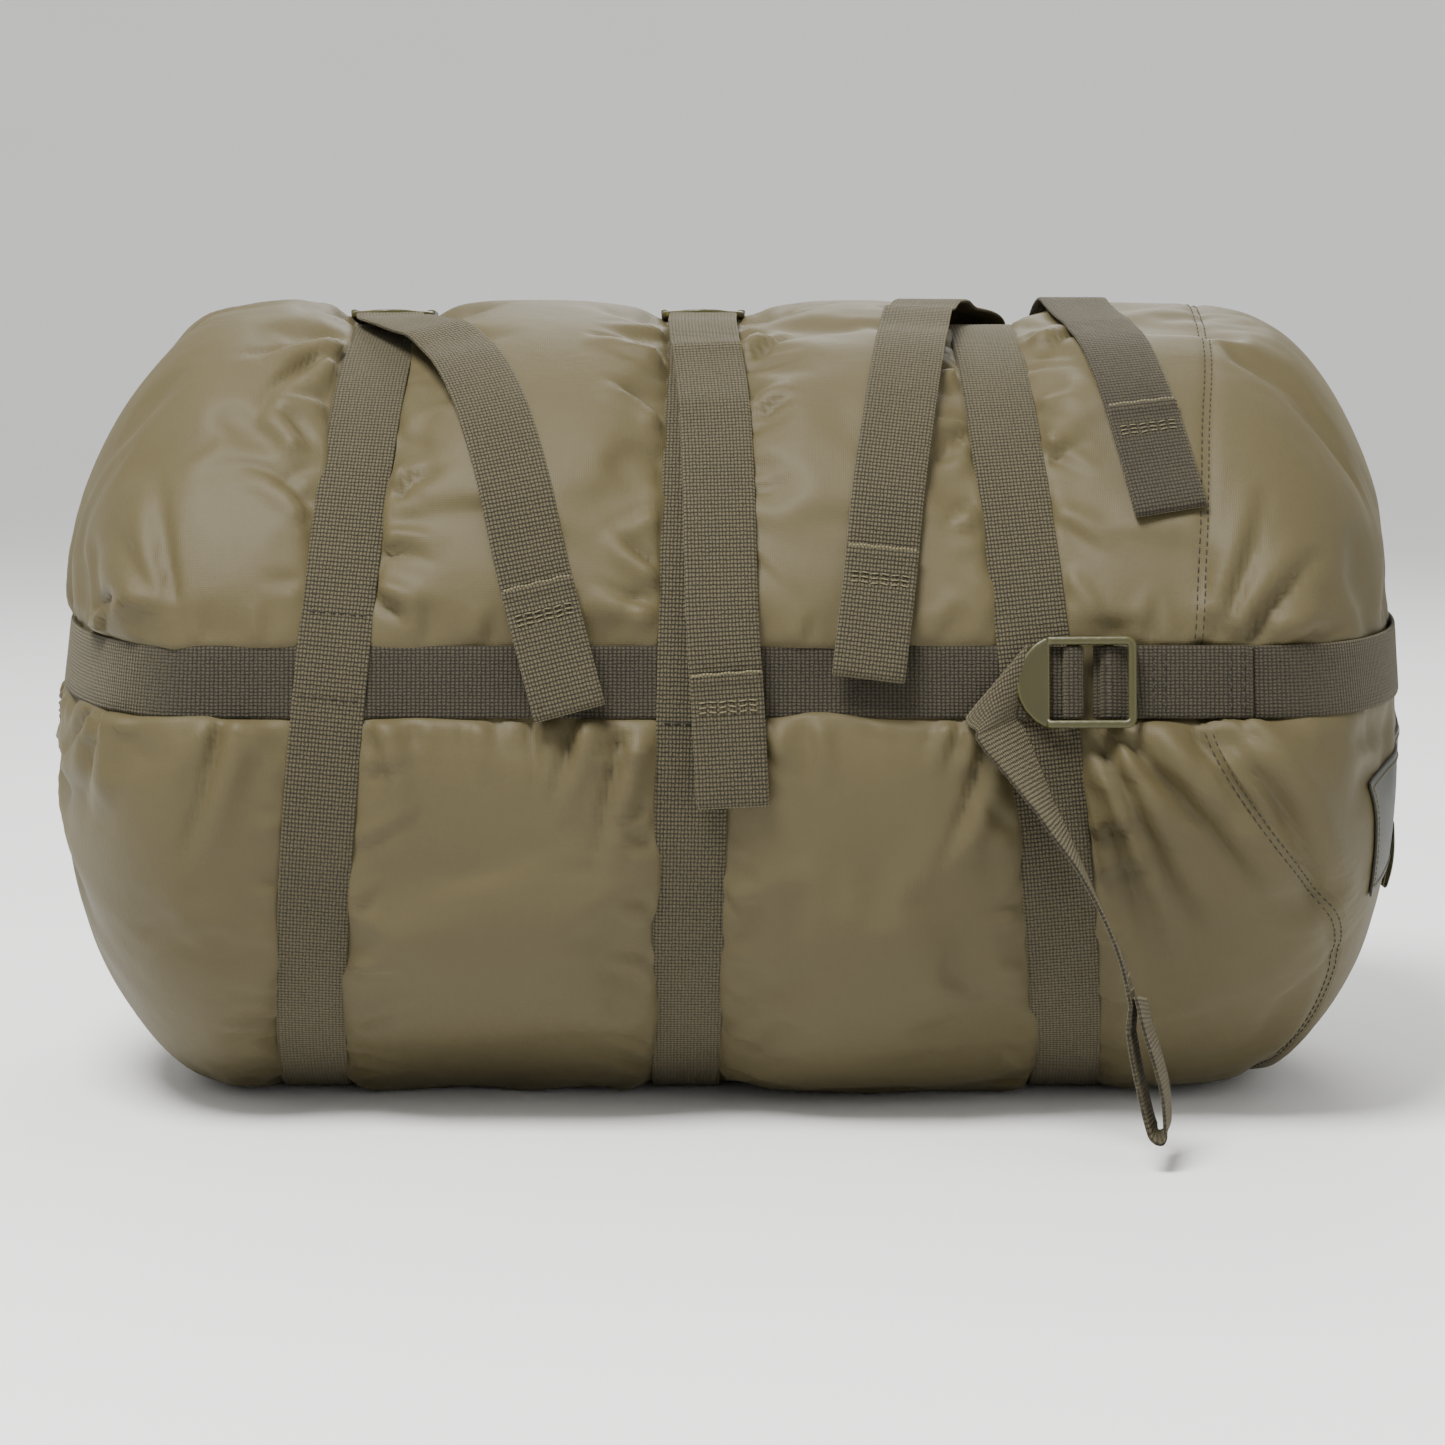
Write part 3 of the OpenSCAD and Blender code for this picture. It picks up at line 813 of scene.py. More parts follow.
# Folds that packing has left: [[x, degrees] from the pinch on...], width, height
FOLDS = [
    # above the belt at the left end
    ([(-197, 70), (-203, 57), (-207, 46)], 8, 2.6),
    ([(-203, 70), (-212, 62), (-218, 56)], 8, 2.4),
    ([(-214, 69), (-226, 66)], 7, 2.6),
    # beside the left strap
    ([(-149, 46), (-156, 42), (-166, 40)], 6, 2.2),
    ([(-137, 20), (-152, 25), (-172, 30)], 7, 2.4),
    ([(-139, 26), (-152, 34), (-160, 44)], 6, 2.0),
    ([(-146, 57), (-158, 52), (-172, 50)], 6, 1.8),
    ([(-118, 52), (-110, 49), (-98, 48)], 5, 2.2),
    ([(-120, 60), (-109, 60), (-96, 62)], 5, 2.2),
    ([(-121, 66), (-112, 68), (-102, 72)], 5, 2.0),
    # beside the middle strap
    ([(-24, 27), (-36, 25), (-52, 24)], 6, 2.4),
    ([(-24, 41), (-36, 37), (-46, 36)], 6, 2.0),
    ([(-24, 66), (-34, 63), (-42, 60)], 5, 2.6),
    ([(-25, 71), (-36, 70), (-48, 68)], 5, 1.8),
    ([(6, 24), (14, 20), (24, 18)], 6, 2.4),
    ([(9, 38), (17, 36), (25, 35)], 5, 2.0),
    # beside the right strap
    ([(88, 30), (78, 30), (70, 33)], 6, 2.6),
    ([(90, 44), (84, 45), (78, 49)], 6, 2.6),
    ([(94, 55), (86, 56), (80, 60)], 5, 2.4),
    ([(112, 20), (124, 14), (138, 10)], 6, 2.0),
    ([(110, 45), (118, 43), (126, 42)], 5, 1.6),
    # below the belt
    ([(-213, 83), (-228, 94), (-238, 104)], 7, 2.6),
    ([(-206, 83), (-214, 93), (-219, 103)], 7, 2.8),
    ([(-164, 84), (-172, 96), (-181, 107)], 7, 2.6),
    ([(-174, 83), (-184, 92)], 6, 2.0),
    ([(-118, 84), (-112, 92), (-109, 100)], 6, 2.0),
    ([(-62, 84), (-60, 92), (-61, 98)], 5, 1.6),
    ([(-44, 84), (-51, 93), (-57, 100)], 6, 2.2),
    ([(-29, 87), (-35, 97), (-40, 108)], 6, 2.8),
    ([(13, 86), (18, 89), (24, 92)], 5, 2.0),
    ([(97, 86), (88, 98), (78, 108)], 6, 2.8),
    ([(86, 86), (80, 94)], 5, 1.8),
    # the long pulls below the belt beside the right strap
    ([(133, 86), (146, 96), (158, 106), (172, 116)], 7, 3.4),
    ([(128, 90), (140, 102), (150, 114), (160, 128)], 7, 3.0),
    ([(140, 85), (158, 92), (178, 101), (196, 112)], 8, 3.2),
    ([(166, 85), (178, 92), (190, 99)], 7, 2.8),
    ([(172, 84), (196, 94), (212, 108), (222, 124)], 9, 3.0),
    ([(124, 96), (130, 110), (138, 124), (144, 138)], 6, 2.4),
    # above the belt at the right
    ([(172, 73), (186, 66), (202, 58)], 7, 2.8),
    ([(165, 72), (176, 60), (182, 50)], 6, 2.0),
    ([(186, 73), (204, 70), (216, 68)], 7, 2.4),
]


def strap_edge(name, side, deg):
    """x and z on the edge of a girth strap, at an angle round the sack."""
    z = AXIS + RADIUS * math.cos(math.radians(deg))
    return plane_x(name, z) + side * (WEB / 2 + 1), z


def belt_edge(up):
    """How high over the sack's axis the belt's upper or lower edge is."""
    return BELT_Z + up * (WEB / 2 + 1) - AXIS


def off_the_straps(x, share):
    return not any(abs(x - plane_x(n, BELT_Z)) < WEB * share for n in PLANES)


def small_fold(x, deg, on, turn, early=0.5):
    """A fold's course from [x, degrees], on along the sack and turning round it."""
    return [(x, deg), (x + on * 0.5, deg + turn * early), (x + on, deg + turn)]


def pinches(seed):
    """Small random gathers that run off the edges of the webbing, all round the sack."""
    draw = np.random.default_rng(seed)
    size = lambda: (draw.uniform(3.4, 5.4), draw.uniform(0.8, 2.2))
    made = []
    for name in PLANES:
        for side in (-1, 1):
            deg = draw.uniform(4, 12)
            while deg < 356:
                x, z = strap_edge(name, side, deg)
                long = draw.uniform(9, 26)
                lean = draw.normal() * 4 + (3 if z > AXIS else -3)
                if abs(z - BELT_Z) > WEB * 0.7 and z > 6:
                    made.append((small_fold(x, deg, side * long, lean), *size()))
                deg += draw.uniform(5, 13)
    for face in (-1, 1):
        for up in (-1, 1):
            x = -205.0
            while x < 205:
                turned_by = math.degrees(math.asin(np.clip(belt_edge(up) / RADIUS, -1, 1)))
                long, lean = draw.uniform(3.5, 10), draw.normal() * 7
                if off_the_straps(x, 0.75):
                    deg, turn = 90 - turned_by, -up * long
                    if face > 0:
                        deg, turn = 360 - deg, -turn
                    made.append((small_fold(x, deg, lean, turn), *size()))
                x += draw.uniform(10, 26)
    return made


def hidden_folds(seed):
    """Longer folds off the straps over the back and underside, like those at the front."""
    draw = np.random.default_rng(seed)
    size = lambda: (draw.uniform(5, 8), draw.uniform(1.6, 2.7))
    made = []
    for name in PLANES:
        for side in (-1, 1):
            deg = 192 + draw.uniform(0, 14)
            while deg < 346:
                x, z = strap_edge(name, side, deg)
                long, lean = draw.uniform(24, 52), draw.normal() * 9
                if abs(z - BELT_Z) > WEB * 0.8 and z > 20:
                    made.append((small_fold(x, deg, side * long, lean, 0.35), *size()))
                deg += draw.uniform(13, 24)
    for up in (-1, 1):
        x = -200.0
        while x < 215:
            deg = 270 + math.degrees(math.asin(belt_edge(up) / RADIUS))
            long, lean = draw.uniform(9, 22), draw.normal() * 12
            if off_the_straps(x, 0.8):
                made.append((small_fold(x, deg, lean, up * long), *size()))
            x += draw.uniform(24, 44)
    return made


# How much higher the placed folds are made, and how sharp each kind's crease is
FOLD_GAIN, FOLD_SHARP, HIDDEN_SHARP = 1.9, 1.4, 1.3


def folded(points, normals):
    lift = np.zeros(len(points))
    for courses, gain, sharp in ((hidden_folds(31), 1, HIDDEN_SHARP),
                                 (FOLDS, FOLD_GAIN, FOLD_SHARP), (pinches(11), 1, 1)):
        for course, wide, high in courses:
            lift += fold_field(points, course, wide, gain * high, sharp)
    free = eased(webbing_gap(points), 0.2, 3)
    return points + normals * (lift * free)[:, None]


SEAM_DEEP, SEAM_WIDE = 1.1, 2.6


def seam_groove(points):
    """How deep the seam between the sack and its end panel pulls the fabric in."""
    deg = np.degrees(np.arctan2(-points[:, 1], points[:, 2] - AXIS)) % 360
    past = np.abs(points[:, 0] - on_profile(seam_at(deg))[0])
    return SEAM_DEEP * np.exp(-(past / SEAM_WIDE) ** 2)


PLEAT_HIGH = 2.6


def mouth_pleats(places):
    """The pleats that the drawn mouth throws in the left end, as a height at each place."""
    from_mouth = PROFILE_END[-1] + places[:, 0]
    turn = np.radians(places[:, 1])
    wander = 0.35 * np.sin(3 * turn + 1) + 0.3 * np.sin(7 * turn + 2)
    pleat = np.sin(9 * turn + 3 * wander)
    finer = np.sin(15 * turn + 5 * wander + 1.3)
    size = eased(from_mouth, 8, 22) * (1 - eased(from_mouth, 45, 150))
    return size * (PLEAT_HIGH * (1 - 2 * np.abs(pleat)) + 1.1 * finer)


FLOOR_SKIN = 0.3


def rested(points):
    """The same points, flattened where they rest on the floor."""
    points[:, 2] = np.maximum(points[:, 2], FLOOR_SKIN)
    return points


def subdivided(obj):
    modifier = obj.modifiers.new("subdivision", "SUBSURF")
    modifier.levels = modifier.render_levels = 1
    mesh = applied(obj)
    obj.modifiers.clear()
    obj.data = mesh


# How far the cloth may sink below the full form or stand out of it
MOST_SUNK, MOST_PROUD = 3.0, 3.6


def kept_out(points, full):
    """Stops the cloth from sinking into the filling: it stays near the full form or out."""
    centre = np.stack([np.clip(full[:, 0], -STRAIGHT, STRAIGHT), 0 * full[:, 0],
                       0 * full[:, 0] + AXIS], -1)
    outward = unit(full - centre)
    depth = ((points - full) * outward).sum(1)
    low, high = -MOST_SUNK, MOST_PROUD * (1.02 - end_share(full))
    soft = np.where(depth < 0, low * np.tanh(depth / low), high * np.tanh(depth / high))
    return points + outward * (soft - depth)[:, None]


# The fabric this near to the mouth's middle doesn't swell
MOUTH_HELD = 24
# The share of its full rise that the fabric has before it is simulated
START_RISE = 0.6


def swollen(places, quads):
    deg, pleats = places[:, 1], mouth_pleats(places)
    m = dragged(places[:, 0], deg)
    base = surface(m, deg)
    rise = puffed(base)
    formed = lambda out: rested(corners_lifted(leaned(surface(m, deg, out + pleats))))
    full = formed(rise)
    held = ((webbing_gap(base) < UNDER) | (places[:, 0] < MOUTH_HELD - PROFILE_END[-1])
            | (base[:, 2] < 0.5))
    start = formed(np.where(held, rise, rise * START_RISE))
    sim = new_object("simulated", start, quads)
    points = inflate(sim, held, start)
    bpy.data.objects.remove(sim)
    return rested(kept_out(points, full))


def fabric_uvs(points, faces):
    """Millimetres along the sack and round it, for the weave."""
    turn = np.arctan2(-points[:, 1], points[:, 2] - AXIS) * RADIUS
    full = 2 * math.pi * RADIUS
    uvs = []
    for face in faces:
        around = turn[list(face)]
        around = np.where(around - around[0] > full / 2, around - full, around)
        around = np.where(around - around[0] < -full / 2, around + full, around)
        uvs += [(points[v, 0], a) for v, a in zip(face, around)]
    return uvs


def fabric_piece(name, points, faces):
    """One piece of the fabric, with only the points that its faces use."""
    used = np.unique(np.concatenate([np.array(f) for f in faces]))
    renumber = dict(zip(used.tolist(), range(len(used))))
    faces = [tuple(renumber[v] for v in f) for f in faces]
    return new_object(name, points[used], faces, fabric_uvs(points[used], faces))


def make_fabric():
    """The stuffed fabric, in two pieces that meet at the seam."""
    places, quads, panel = sack_grid()
    whole = new_object("whole", swollen(places, quads), quads)
    whole.data.attributes.new("panel", "FLOAT", "FACE").data.foreach_set(
        "value", panel.astype(float))
    subdivided(whole)
    mesh = whole.data
    normals = mesh_data(mesh.vertex_normals, "vector")
    points = folded(mesh_data(mesh.vertices) / MM, normals)
    points = rested(points - normals * seam_groove(points)[:, None])
    share = np.empty(len(mesh.polygons), np.float32)
    mesh.attributes["panel"].data.foreach_get("value", share)
    faces = [tuple(p.vertices) for p in mesh.polygons]
    bpy.data.objects.remove(whole)
    return [fabric_piece(name, points, [faces[i] for i in np.flatnonzero(chosen)])
            for name, chosen in (("sack_fabric", share < 0.5),
                                 ("end_panel_fabric", share > 0.5))]


fabric, end_fabric = make_fabric()
for cloth, cloth_node in ((fabric, "sack_tube"), (end_fabric, "end_cap")):
    dress(cloth, NYLON, "root", [cloth_node])


# ---------------------------------------------------------------- touching the fabric
def tree_of(*objects):
    points, faces = [], []
    for obj in objects:
        start = len(points)
        points += [v.co for v in obj.data.vertices]
        faces += [[start + v for v in p.vertices] for p in obj.data.polygons]
    return BVHTree.FromPolygons(points, faces)


CLOTH_TREE = tree_of(fabric, end_fabric)


def fabric_point(point, inward, reach=60.0):
    """Where a line through point, going inward, first meets the fabric, from outside."""
    inward = Vector(inward).normalized()
    start = Vector(point) * MM - inward * reach * MM
    hit = CLOTH_TREE.ray_cast(start, inward, 3 * reach * MM)[0]
    return np.array(hit) / MM if hit is not None else np.array(point, float)


def clear_of_fabric(points, out, spare=0.25, width=WEB, ramp=(3, 18)):
    """Lifts a strap's inner face off the fabric wherever its width would sink in.

    The lift grows over the ramp, so that the strap still leaves its lock under the tab.
    """
    side = sideways(out, points)
    need = np.zeros(len(points))
    for share in (-0.48, -0.24, 0, 0.24, 0.48):
        for i, p in enumerate(points + side * share * width):
            hit = fabric_point(p, -out[i], 30)
            need[i] = max(need[i], float(np.dot(hit - p, out[i])) + spare)
    need = np.minimum(need, 9)
    for _ in range(3):
        near = np.concatenate([need[:1], need, need[-1:]])
        need = np.maximum(need, (near[:-2] + near[1:-1] + near[2:]) / 3)
    need *= eased(walked(points), *ramp)
    return points + out * need[:, None]


# ---------------------------------------------------------------- the straps' courses
def girth_course(name, start, stop, out, step=3.0):
    """A girth strap's inner face between two distances from its lock, towards the tab."""
    s = np.linspace(start, stop, max(2, int(abs(stop - start) / step)))
    turn = np.radians(SITES[name][1]) + s / RADIUS
    far = RADIUS + out
    z = AXIS + far * np.cos(turn)
    z = np.maximum(z, WEB_T + 0.05 - min(out, 0))
    points = np.stack([plane_x(name, z), -far * np.sin(turn), z], -1)
    return points, off_axis(turn)


def belt_loop(out):
    """The belt's closed course round the sack, from the front's middle, rightwards."""
    high = BELT_Z - AXIS
    half = {}
    for side, (run, x, r) in PROFILES.items():
        kept = r > high
        x = np.append(x[kept], np.interp(high, r[::-1], x[::-1]))
        r = np.append(r[kept], high)
        straight = np.arange(0, STRAIGHT, 3.0)
        x = np.concatenate([straight, x])
        y = np.concatenate([0 * straight + RADIUS, r])
        half[side] = np.column_stack([side * x, np.sqrt(y * y - high * high + 1e-9)])
    right, left = half[1], half[-1]
    flip = np.array([1, -1])
    line = np.concatenate([right * flip, right[::-1][1:], left[1:], (left * flip)[::-1][1:-1]])
    radius = np.hypot(line[:, 1], high)
    normal = []
    for (x, y), r in zip(line, radius):
        nx, nr = 0.0, 1.0
        if abs(x) > STRAIGHT:
            side = 1 if x > 0 else -1
            run, _, end_r = PROFILES[side]
            at = np.interp(r, end_r[::-1], run[::-1])
            (x1, x2), (r1, r2) = on_profile(side * np.array([at - 0.6, at + 0.6]))
            steep = math.hypot(x2 - x1, r2 - r1) + 1e-9
            nx, nr = side * abs(r2 - r1) / steep, abs(x2 - x1) / steep
        normal.append((nx, nr * y / r, nr * high / r))
    points = np.column_stack([line, np.full(len(line), BELT_Z)])
    return points + np.array(normal) * out, np.array(normal)


def resampled(points, out, step=3.0):
    run = walked(points)
    at = np.linspace(0, run[-1], max(2, int(run[-1] / step)))
    return along_line(at, run, points), unit(along_line(at, run, out))


def belt_part(x_limit, end, out):
    """The belt's course past x_limit at one end of the sack, from the front to the rear."""
    points, normal = belt_loop(out)
    if end < 0:
        points, normal = points[::-1], normal[::-1]
        start = np.argmax((points[:, 1] < 0) & (points[:, 0] < x_limit)
                          & (np.roll(points[:, 0], 1) >= x_limit))
        points, normal = np.roll(points, -start, axis=0), np.roll(normal, -start, axis=0)
        kept = points[:, 0] < x_limit
    else:
        kept = points[:, 0] > x_limit
    points, normal = points[kept], normal[kept]
    return resampled(points, normal)


# ---------------------------------------------------------------- threads and stitches
STITCHES = {}
# One stitch's rings: share of its length, size and rise
STITCH_RINGS = ((0, 0.35, -0.15), (0.12, 0.9, 0.5), (0.5, 1, 1), (0.88, 0.9, 0.5),
                (1, 0.35, -0.15))
THREAD_TURNS = [k * math.pi / 3 for k in range(6)]
THREAD_FACES = loft(np.zeros((len(STITCH_RINGS), len(THREAD_TURNS), 3)))[1]


def stitch_row(key, points, out, long=2.6, gap=0.9, thick=0.42, lift=0.12):
    """Adds a row of stitches along points to one piece of thread."""
    points, out = np.asarray(points, float), np.asarray(out, float)
    run = walked(points)
    corners, faces = STITCHES.setdefault(key, ([], []))
    count = max(1, int((run[-1] + gap) / (long + gap)))
    first = (run[-1] - count * (long + gap) + gap) / 2
    for n in range(count):
        s0 = first + n * (long + gap)
        a, b = along_line(np.array([s0, s0 + long]), run, points)
        up = unit(along_line(s0 + long / 2, run, out))
        side = unit(np.cross(up, unit(b - a)))
        base = len(corners)
        for share, size, rise in STITCH_RINGS:
            middle = a + (b - a) * share + up * (lift + rise * thick / 2)
            corners += [middle + (side * math.cos(turn) + up * math.sin(turn))
                        * thick / 2 * size for turn in THREAD_TURNS]
        faces += [tuple(base + v for v in face) for face in THREAD_FACES]


def crossing_row(key, points, out, s, width=WEB, inset=1.6, rise=WEB_T, **stitch):
    """A row of stitches across a strap, at a distance s along it."""
    run = walked(points)
    middle, up = along_line(s, run, points), unit(along_line(s, run, out))
    along = unit(along_line(s + 1, run, points) - middle)
    side = unit(np.cross(up, along))
    half = width / 2 - inset
    row = np.linspace(-half, half, 12)
    wave = 0.8 * np.sin(np.arange(12) * 1.9) * 0.35
    line = middle + side * row[:, None] + along * wave[:, None] + up * rise
    stitch_row(key, line, np.tile(up, (12, 1)), **stitch)


def make_threads():
    for (name, body, material), (corners, faces) in STITCHES.items():
        obj = new_object(name, corners, faces)
        dress(obj, material, body)


# ---------------------------------------------------------------- the webbing on the sack
# A strap's sewn end on its way up to a lock's fixed bar, as [x, z] and outward directions,
# and its radius round the bar
LOOP_RISE = [[-7.2, -1.05], [-5, -0.1], [-2.8, 1.0]]
LOOP_RISE_OUT = [[-0.3, 1], [-0.42, 0.9], [-0.42, 0.9]]
LOOP_BAR = 1.45


def sewn_loop(name, flat, flat_out, strap, key, rows):
    """A strap's end doubled back: from where it is sewn to the bar, over it and under it."""
    turn = np.radians(np.linspace(110, -90, 15))
    ring = np.stack([np.cos(turn), np.sin(turn)], -1)
    curve, curve_out = strap_in_lock(name, np.concatenate([LOOP_RISE, LOOP_BAR * ring]),
                                     np.concatenate([LOOP_RISE_OUT, ring]), False)
    loop = webbing(name + "_sewn_loop", np.concatenate([flat, curve]),
                   unit(np.concatenate([flat_out, curve_out])))
    loop.parent = strap
    dress(loop, web_of(name))
    for s in rows:
        crossing_row(key, flat, flat_out, s, thick=0.5)


# How far a strap is sewn to its doubled end, and where it stops short of the lock
SEWN, SLOT_END = 42, 6.8
# How far a strap lies off what is under it, and its doubled end off the sack
CLOSE, SECOND = 0.05, WEB_T + 0.25
# Where the long belt ends behind the buckles, and how far the girth straps press it in
BELT_STOP, BELT_SUNK = 121.5, 1.5
# Rows of stitches across the girth straps, by degrees
STRAP_STITCHES = {"left": (70, 82), "middle": (86,), "right": ()}


def girth_strap(name):
    points, out = girth_course(name, SLOT_END, 9.2 - 2 * math.pi * RADIUS, CLOSE)
    strap = webbing(name + "_strap", points, out)
    dress(strap, WEBBING, "root", [name + "_girth_strap"])
    key = (name + "_strap_thread", "root", DARK_THREAD)
    for row in STRAP_STITCHES[name]:
        away = math.radians(SITES[name][1] - (row - 360)) * RADIUS + SLOT_END
        crossing_row(key, points, out, away, thick=0.5)
    sewn_loop(name, *girth_course(name, -7.6 - SEWN, -9.5, SECOND), strap, key,
              (3, 8, 26, 31, 38))


def belts():
    belt = webbing("length_belt_webbing", *belt_part(BELT_STOP, -1, -BELT_SUNK))
    dress(belt, BELT_WEBBING, "root", ["length_belt"])
    buckle_x = SITES["front"][0]
    end = webbing("end_belt_webbing", *belt_part(buckle_x - SLOT_END, 1, CLOSE))
    dress(end, BELT_WEBBING, "root", ["end_belt"])
    second, second_out = belt_part(buckle_x, 1, SECOND)
    for name, line, line_out in (("front", second, second_out),
                                 ("rear", second[::-1], second_out[::-1])):
        run = walked(line)
        part = (run > 9) & (run < 7.6 + SEWN)
        sewn_loop(name, line[part][::-1], line_out[part][::-1], end,
                  ("belt_thread", "root", DARK_THREAD), (3, 7.5, 30, 34))


for strap_name in PLANES:
    girth_strap(strap_name)
belts()


# ---------------------------------------------------------------- seam, mouth and labels
def make_seam():
    """The welt's two rows of stitches, beside the seam and round the end panel."""
    deg = np.arange(0, 361, 1.5)
    for beside, long in ((-2.2, 2.4), (0.3, 2.0)):
        m = seam_at(deg) + beside
        outside = surface(m, deg, 14)
        inward = unit(surface(m, deg) - outside)
        line = np.array([fabric_point(p, d, 20) for p, d in zip(outside, inward)])
        stitch_row(("seam_thread", "root", DARK_THREAD), line, -inward, long=long, gap=1.0,
                   thick=0.4, lift=0.05)


def end_point(side, y, z):
    """Where one end of the sack, -1 or 1, is at y and z."""
    return fabric_point((200 * side, y, z), (-side, 0, 0), 80)


def patch_sides(n, k, inset=0):
    """The four edges of an n by k grid, inset from its rim, in order round it."""
    far_i, far_j = n - 1 - inset, k - 1 - inset
    i_on, j_on = range(inset, far_i + 1), range(inset, far_j + 1)
    return ([(i, inset) for i in i_on], [(far_i, j) for j in j_on],
            [(i, far_j) for i in i_on[::-1]], [(inset, j) for j in j_on[::-1]])


# The label's middle, its size, how far it is turned, and its thickness
LABEL_Y, LABEL_Z, LABEL_WIDE, LABEL_HIGH, LABEL_TURN, LABEL_T = -66, 111, 84, 42, 12, 0.9


def make_label():
    """The blank patch that is sewn on the end panel."""
    turn = math.radians(LABEL_TURN)
    u, v = np.linspace(-0.5, 0.5, 57) * LABEL_WIDE, np.linspace(-0.5, 0.5, 33) * LABEL_HIGH
    grid_u, grid_v = np.meshgrid(u, v, indexing="ij")
    y = LABEL_Y + grid_u * math.cos(turn) - grid_v * math.sin(turn)
    z = LABEL_Z + grid_u * math.sin(turn) + grid_v * math.cos(turn)
    hit = np.array([[end_point(1, a, b)[0] for a, b in zip(row_y, row_z)]
                    for row_y, row_z in zip(y, z)])
    flat = hit.copy()
    for _ in range(6):
        padded = np.pad(flat, 1, mode="edge")
        flat = (padded[:-2, 1:-1] + padded[2:, 1:-1] + padded[1:-1, :-2]
                + padded[1:-1, 2:]) / 4
        flat = np.maximum(flat, hit)
    base = np.stack([flat, y, z], -1)
    du, dv = np.gradient(base, axis=0), np.gradient(base, axis=1)
    out = unit(np.cross(du, dv))
    out *= np.sign(out[..., :1])
    low, top = base + out * CLOSE, base + out * LABEL_T
    n, k = hit.shape
    index = np.arange(n * k).reshape(n, k)
    faces, uvs = [], []
    for layer, flip in ((n * k, False), (0, True)):
        for i in range(n - 1):
            for j in range(k - 1):
                quad = [(i, j), (i + 1, j), (i + 1, j + 1), (i, j + 1)]
                quad = quad[::-1] if flip else quad
                faces.append([int(index[c]) + layer for c in quad])
                uvs += [(grid_u[c], grid_v[c]) for c in quad]
    rim = [place for edge in patch_sides(n, k) for place in edge[:-1]]
    for a, b in zip(rim, rim[1:] + rim[:1]):
        faces.append([int(index[a]), int(index[b]), int(index[b]) + n * k,
                      int(index[a]) + n * k])
        uvs += [(grid_u[c], grid_v[c]) for c in (a, b, b, a)]
    patch = new_object("blank_label_patch",
                       np.concatenate([low.reshape(-1, 3), top.reshape(-1, 3)]), faces, uvs)
    dress(patch, LABEL_TAPE, "root", ["label_patch"])
    for row in patch_sides(n, k, 2):
        stitch_row(("blank_label_patch_thread", "root", THREAD), [top[c] for c in row],
                   [out[c] for c in row], long=1.6, gap=0.5, thick=0.45)


TAG_Y, TAG_TOP, TAG_LOW = -32, 99, 75


def make_tag():
    """A folded tag, sewn in under the label patch's lower edge and hanging loose."""
    down = np.linspace(0, 1, 12)
    z = TAG_TOP - (TAG_TOP - TAG_LOW) * down
    seat = np.array([end_point(1, TAG_Y, c) for c in z])
    outer, inner = (seat + np.array([1, 0, 0]) * off[:, None]
                    for off in (1.0 + 2.0 * np.sin(down * 2.2), 0.35 + 0.5 * down))
    bottom = (outer[-1] + inner[-1]) / 2 + np.array([0, 0, -0.7])
    path = np.concatenate([outer, bottom[None], inner[::-1]])
    out = unit(np.cross(headings(path), [0, -1, 0]))
    tag = webbing("folded_care_tag", path, out, width=15, thick=0.35)
    dress(tag, TAG_TAPE, "root", ["care_tag"])


HEM_RING, HEM_TUBE, HEM_X, HEM_PLEATS = 6.5, 4.4, -244.85, 17


def make_hem():
    """The mouth's hem, drawn shut into a small ring of pleats."""
    round_it, across = 204, 18
    phi = np.linspace(0, 2 * math.pi, round_it, endpoint=False)
    theta = np.linspace(0, 2 * math.pi, across, endpoint=False)
    pleat = np.abs(np.sin(HEM_PLEATS * phi / 2 + 0.4 * np.sin(3 * phi)))
    points = []
    for a, fold in zip(phi, pleat):
        tube = HEM_TUBE * (0.74 + 0.26 * fold)
        reach = HEM_RING + tube * np.cos(theta)
        x = HEM_X - tube * np.sin(theta) * (0.9 + 0.1 * fold)
        points.append(np.stack([x, -reach * math.sin(a), AXIS + reach * math.cos(a)], -1))
    uvs = [((i + a) * 0.4, (j + b) * 1.6) for i in range(round_it) for j in range(across)
           for a, b in ((0, 0), (0, 1), (1, 1), (1, 0))]
    hem = new_object("gathered_mouth_hem", np.concatenate(points),
                     tube_faces(round_it, across, True), uvs)
    dress(hem, NYLON, "root", ["mouth_hem"])


EYELET_Z = 115.5
EYELET_PROFILE = [(1.9, -0.6), (1.9, 0.35), (2.1, 0.75), (2.6, 1.0), (3.1, 0.9), (3.5, 0.5),
                  (3.6, -0.2), (3.2, -0.6)]


def make_eyelet():
    """The drawcord's rolled brass eyelet, in the sack's end below the mouth."""
    seat = np.array([end_point(-1, 0, EYELET_Z + d) for d in (-3, 0, 3)])
    rise = unit(seat[2] - seat[0])
    across = np.array([0, 1.0, 0])
    out = unit(np.cross(rise, across))
    out *= -np.sign(out[0])
    turn = np.linspace(0, 2 * math.pi, 40, endpoint=False)
    rings = [seat[1] + out * h + r * (np.cos(turn)[:, None] * across
                                      + np.sin(turn)[:, None] * rise)
             for r, h in EYELET_PROFILE]
    eyelet = new_object("brass_eyelet", np.concatenate(rings),
                        tube_faces(len(rings), len(turn), True))
    dress(eyelet, BRASS, "root", ["cord_eyelet"])


FILLING_IN = -8


